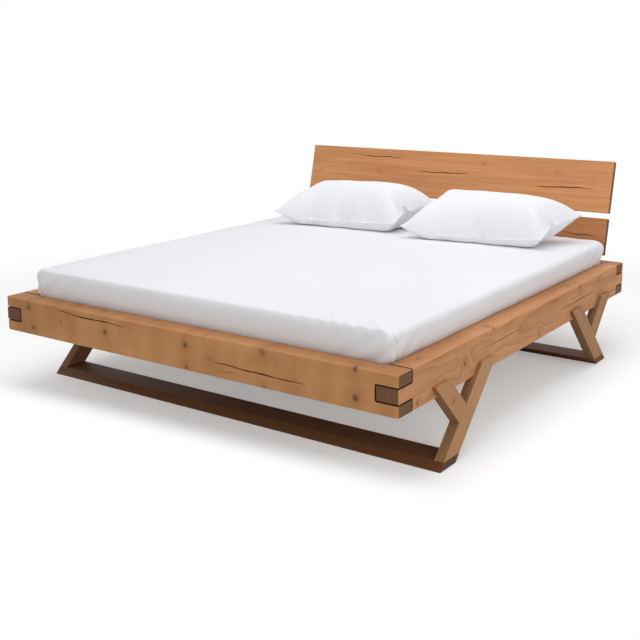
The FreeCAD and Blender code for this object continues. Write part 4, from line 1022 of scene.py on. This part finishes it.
def make_sheet():
    under = [(out, out, 0.0) for out in np.linspace(-TURNED_UNDER, -0.030, 13)]
    line = under + smooth_line(SIDE_RINGS, 4) + smooth_line(TOP_RINGS, 7)[1:]
    line += [(-0.76, -0.76, 0.206), (-0.885, -0.885, 0.206)]
    rings = np.array([
        ring_points(out_x, out_y, BED_LOW + level + (CLEAR if level > 0.1 else -0.0010), CLEAR)
        for out_x, out_y, level in line])
    normals = ring_normals(rings)
    waist = rings[len(under) + 12]
    steps = np.linalg.norm(np.roll(waist, -1, 0) - waist, axis=1)
    walk = np.concatenate([[0], np.cumsum(steps)])
    whole = walk[-1]
    for step in range(ROUND):
        from_seam = min(((walk[step] - walk[middle] + whole / 2) % whole - whole / 2
                         for middle in CORNER_MIDDLES), key=abs)
        gather = 0.5 + 0.5 * math.sin(walk[step] * 2 * math.pi / GATHER_APART
                                      + 2.0 * drift(walk[step] * 5, 0, 0))
        for row in range(len(line)):
            share = min(line[row][2] / BED_TALL, 1.0)
            if row < len(under):
                rings[row, step, 2] += GATHER_HIGH * gather * (1 - row / len(under))
            else:
                rings[row, step] += normals[row, step] * sheet_fold(
                    rings[row, step], share, from_seam, walk[step], 2.0)
    made = rings_mesh("fitted_sheet_cloth", rings, sheet_cotton, close_first=False)
    wall = made.modifiers.new("wall", "SOLIDIFY")
    wall.thickness, wall.offset = CLOTH_THICK, -1.0
    plain_mesh(made)
    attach(made, "mattress")
    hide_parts("fitted_sheet")


make_sheet()

# %% [markdown]
# ## The pillows
# A pillow is two flat panels sewn together and stuffed. Blown up from the flat, the panels
# pull the seams inwards, and that is what draws the sides in, leaves the corners as points
# and puckers the seam. So the pillow is made as it is sewn: a flat double panel, put through
# Blender's cloth simulation under pressure, with no gravity.

# %% Sew and stuff a pillow
PANEL_WIDE, PANEL_DEEP = 0.862, 0.548
CELLS_X, CELLS_Y = 86, 54
PRESSURE, VOLUME = 5.0, 0.046


def sewn_panels(name):
    """Two flat panels that share their edge, with a UV map of the cut."""
    mesh = bmesh.new()
    cut = mesh.loops.layers.uv.new("cut")
    layers = []
    for side in (1, -1):
        grid = []
        for i in range(CELLS_X + 1):
            row = []
            for j in range(CELLS_Y + 1):
                rim = i in (0, CELLS_X) or j in (0, CELLS_Y)
                if side < 0 and rim:
                    row.append(layers[0][i][j])
                    continue
                x, y = (i / CELLS_X - 0.5) * PANEL_WIDE, (j / CELLS_Y - 0.5) * PANEL_DEEP
                row.append(mesh.verts.new((x, y, 0.0 if rim else side * 0.004)))
            grid.append(row)
        layers.append(grid)
    for side, grid in zip((1, -1), layers):
        for i in range(CELLS_X):
            for j in range(CELLS_Y):
                corners = [(i, j), (i + 1, j), (i + 1, j + 1), (i, j + 1)][::side]
                face = mesh.faces.new([grid[a][b] for a, b in corners])
                for loop, (a, b) in zip(face.loops, corners):
                    loop[cut].uv = (a / CELLS_X * PANEL_WIDE, b / CELLS_Y * PANEL_DEEP)
    made = to_object(name, mesh)
    smooth_faces(made.data)
    return made


def stuff(made, frames):
    """Blows the panels up and keeps the result as a plain mesh."""
    cloth = made.modifiers.new("stuffing", "CLOTH")
    fabric = cloth.settings
    fabric.quality, fabric.mass, fabric.air_damping = 6, 0.2, 3
    fabric.tension_stiffness = fabric.compression_stiffness = 40
    fabric.shear_stiffness, fabric.bending_stiffness = 12, 0.25
    fabric.use_pressure = fabric.use_pressure_volume = True
    fabric.uniform_pressure_force, fabric.target_volume = PRESSURE, VOLUME
    fabric.effector_weights.gravity = 0
    cloth.collision_settings.use_collision = False
    cloth.point_cache.frame_start, cloth.point_cache.frame_end = 1, frames
    for number in range(1, frames + 1):
        scene.frame_set(number)
    plain_mesh(made)
    scene.frame_set(1)


# %% [markdown]
# ## Laying the pillows down
# The stuffed pillow keeps its drawn-in outline and its soft puckers, and takes its fullness
# from the measured pillow: full over the middle with steep sides, tapering to thin corners. Folds
# run in from the corners, the front edge droops, and it leans back a little against the
# headboard. Where it meets the sheet it is pressed flat.

# %% The measured fullness and the folds from the corners
RISE, BELLY, SEAM_EDGE = 0.132, 0.103, 0.0045
PILLOW_WIDE, PILLOW_DEEP = 0.7936, 0.4636
FULL_AT = (-1.0, -0.97, -0.9, -0.76, -0.52, -0.2, 0.2, 0.52, 0.76, 0.9, 0.97, 1.0)
LEFT_SHARE = (0.0, 0.36, 0.71, 0.94, 0.965, 1.03, 1.08, 1.09, 1.06, 0.80, 0.42, 0.0)
RIGHT_SHARE = (0.0, 0.36, 0.72, 0.96, 0.975, 1.04, 1.05, 1.02, 0.93, 0.69, 0.37, 0.0)


def smoothed(field, rounds):
    """Evens out a grid of heights, with its rim held."""
    field = field.copy()
    for _ in range(rounds):
        field[1:-1, 1:-1] = 0.25 * (field[:-2, 1:-1] + field[2:, 1:-1]
                                    + field[1:-1, :-2] + field[1:-1, 2:])
    return field


def evened(values, count):
    """A row of values, each the soft mean of its neighbours; count is odd."""
    window = np.hanning(count + 2)[1:-1]
    longer = np.pad(values, count // 2, "reflect", reflect_type="odd")
    return np.convolve(longer, window / window.sum(), "valid")


def fullness(along, share):
    """How full the pillow is from end to end, without kinks."""
    fine = np.linspace(-1, 1, 201)
    return np.interp(along, fine, evened(np.interp(fine, FULL_AT, share), 45))


def corner_folds(along, across, seed):
    """Low ridges that run in from the four corners."""
    draw = random.Random(seed)
    total = np.zeros_like(along)
    for corner_x in (-1, 1):
        for corner_y in (-1, 1):
            x = (1 - corner_x * along) * PILLOW_WIDE / 2
            y = (1 - corner_y * across) * PILLOW_DEEP / 2
            for angle in (24, 41, 60):
                heading = math.radians(angle + draw.uniform(-6, 6))
                reach, high = draw.uniform(0.13, 0.24), draw.uniform(0.0030, 0.0062)
                on = x * math.cos(heading) + y * math.sin(heading)
                off = y * math.cos(heading) - x * math.sin(heading)
                off = off + 0.012 * np.sin(on * 16.0 + draw.uniform(0, 6))
                fade = np.clip(on / 0.04, 0, 1) * np.clip(1 - on / reach, 0, 1) ** 1.4
                wide = 0.008 + 0.07 * np.clip(on, 0, 1)
                total += high * fade * np.exp(-(off / wide) ** 2)
    return total


# %% Shape one pillow and lay it on the sheet
SHEET_TOP, PRESSED, LIFT, FLATTEN = 0.5489, 0.003, 0.0006, 0.006
DROOP, TUCK = 0.046, (-0.075, 0.115, 0.014)  # at the front edge, and at its right corner
TURNED = -2.0


def fill_pillow(points, share, seed):
    """Gives both panels the measured fullness, keeping the simulation's puckers."""
    rows, columns = CELLS_X + 1, CELLS_Y + 1
    upper = np.arange(rows * columns).reshape(rows, columns)
    under = upper.copy()
    under[1:-1, 1:-1] = np.arange((rows - 2) * (columns - 2)).reshape(rows - 2, -1) + upper.size
    shaped = points.copy()
    for side, grid, top in ((1, upper, RISE), (-1, under, BELLY)):
        x, y, z = np.moveaxis(points[grid], 2, 0)
        along = np.clip(x / np.abs(x[[0, -1]]).mean(0)[None, :], -1, 1)
        half_deep = np.abs(y[:, [0, -1]]).mean(1)
        across = np.clip(y / half_deep[:, None], -1, 1)
        y = y * (evened(half_deep, 9) / half_deep)[:, None]
        arch = np.clip(1 - np.abs(across) ** 2.6, 0, 1) ** 0.55
        height = (SEAM_EDGE + (top - SEAM_EDGE) * fullness(along, share)) * arch
        pucker = (z - smoothed(z, 14)) * side
        fold = corner_folds(along, across, seed + side)
        waves = np.array([[drift(a * 7.0, b * 7.0, seed * 3.1 + side) for a, b in zip(*pair)]
                          for pair in zip(x, y)])
        soft = np.clip(arch * 2.2, 0, 1) * np.clip((1 - np.abs(along)) * 7, 0, 1)
        height += smoothed(0.35 * pucker + 0.9 * fold + 0.0045 * waves, 5) * soft
        droop = np.clip((-0.1 - across) / 0.9, 0, 1) ** 1.5 * np.clip((along + 1) / 0.35, 0, 1)
        tuck = np.clip((along + 0.1) / 1.1, 0, 1) ** 1.6 * np.clip(-across, 0, 1) ** 1.3
        shaped[grid, 2] = side * height - DROOP * droop + TUCK[2] * tuck
        shaped[grid, 1] = y + TUCK[1] * tuck
        shaped[grid, 0] = x + TUCK[0] * tuck
    return shaped


def lay_pillow(body, share, x, y, tilt, frames, seed):
    made = sewn_panels(body + "_cushion")
    stuff(made, frames)
    points = np.array([vertex.co[:] for vertex in made.data.vertices])
    points -= (points.max(0) + points.min(0)) / 2
    size = points.max(0) - points.min(0)
    print(body, "stuffed to", size.round(3))
    points[:, 0] *= PILLOW_WIDE / size[0]
    points[:, 1] *= PILLOW_DEEP / size[1]
    points = fill_pillow(points, share, seed)
    turn, tilt = (Matrix.Rotation(math.radians(angle), 3, axis)
                  for angle, axis in ((TURNED, "Z"), (tilt, "X")))
    points = points @ np.array(turn @ tilt).T + (x, y, SHEET_TOP + BELLY - PRESSED)
    above = points[:, 2] - SHEET_TOP - LIFT
    points[:, 2] = SHEET_TOP + LIFT + 0.5 * (above + np.sqrt(above ** 2 + FLATTEN ** 2))
    made.data.vertices.foreach_set("co", points.ravel())
    finer = made.modifiers.new("finer", "SUBSURF")
    finer.levels = finer.render_levels = 1
    plain_mesh(made)
    made.data.materials.append(case_cotton)
    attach(made, body)
    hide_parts(body, body + "case")


lay_pillow("left_pillow", LEFT_SHARE, -0.344, 0.6602, 6.0, 26, 3)
lay_pillow("right_pillow", RIGHT_SHARE, 0.458, 0.6562, 9.0, 30, 8)

# %% [markdown]
# ## Floor, light and surroundings
# The bed stands on a plain white studio floor that runs off into white. The floor is a
# diffuse white that keeps the soft shadow. The camera alone sees a little extra white on it,
# and all white far away, so that floor and background meet unseen. Before the foot end the
# camera also sees all white, along a slanted line: painted light that wipes out the bed's
# shadow there.

# %% Lay the floor
FLOOR_SIZE, FLOOR_LOW = 30.0, -0.0005
SHADOW_CUT_WAY, SHADOW_CUT_EDGE, SHADOW_CUT_FADE, FAR_FADE = (0.055, -1.0, 0.0), 1.075, (-0.10, 0.12), (2.2, 3.6)


def make_floor():
    mesh = bmesh.new()
    bmesh.ops.create_grid(mesh, x_segments=8, y_segments=8, size=FLOOR_SIZE)
    material, tree, place = new_material("studio_floor")
    matt = put(tree, "ShaderNodeBsdfDiffuse", {"Color": (0.80, 0.80, 0.80)})
    seen = put(tree, "ShaderNodeLightPath").out("Is Camera Ray")
    # white before the foot end, along a slanted line, is painted light over the bed's shadow; white
    # far away meets the background
    past_shadow_cut = place.vector("DOT_PRODUCT", SHADOW_CUT_WAY) - SHADOW_CUT_EDGE
    far = past_shadow_cut.ease(*SHADOW_CUT_FADE).math(
        "MAXIMUM", place.vector("LENGTH").ease(*FAR_FADE))
    glow = put(tree, "ShaderNodeEmission", {"Color": (0.95, 0.985, 1.0), "Strength": 0.29})
    both = put(tree, "ShaderNodeAddShader", {0: matt, 1: glow})
    white = put(tree, "ShaderNodeEmission", {"Strength": 1.0})
    shown = put(tree, "ShaderNodeMixShader", {0: far, 1: both, 2: white})
    final = put(tree, "ShaderNodeMixShader", {0: seen, 1: matt, 2: shown})
    put(tree, "ShaderNodeOutputMaterial", {"Surface": final})
    made = to_object("studio_floor", mesh, material)
    made.data.transform(Matrix.Translation((0, 0, FLOOR_LOW)))


make_floor()
print("floor laid")


# %% Set the lamps and the surroundings
def area_lamp(name, place, target, power, size):
    lamp = bpy.data.lights.new(name, "AREA")
    lamp.shape, lamp.size, lamp.energy = "SQUARE", size, power
    made = bpy.data.objects.new(name, lamp)
    made.location = place
    made.rotation_euler = (Vector(target) - Vector(place)).to_track_quat("-Z", "Y").to_euler()
    scene.collection.objects.link(made)


area_lamp("overhead", (0.3, 0.0, 4.2), (0.1, 0.0, 0.3), 80.0, 3.4)
area_lamp("from_the_right", (4.2, -0.8, 2.4), (0.0, 0.0, 0.4), 30.0, 2.2)
area_lamp("from_the_foot", (0.8, -4.6, 2.2), (0.0, 0.0, 0.4), 25.0, 2.6)

world = bpy.data.worlds.new("surroundings")
world.use_nodes = True
tree = world.node_tree
tree.nodes.clear()
paths = put(tree, "ShaderNodeLightPath")
camera_ray, glossy, through = (paths.out("Is %s Ray" % kind)
                               for kind in ("Camera", "Glossy", "Transmission"))
ambient, white = (put(tree, "ShaderNodeBackground", {"Color": (1, 1, 1), "Strength": power})
                  for power in (0.55, 1.0))
direct = camera_ray.math("MAXIMUM", glossy.math("MAXIMUM", through))
mixed = put(tree, "ShaderNodeMixShader", {0: direct, 1: ambient, 2: white})
put(tree, "ShaderNodeOutputWorld", {"Surface": mixed})
scene.world = world
scene.view_settings.view_transform = "Standard"
print("studio set")
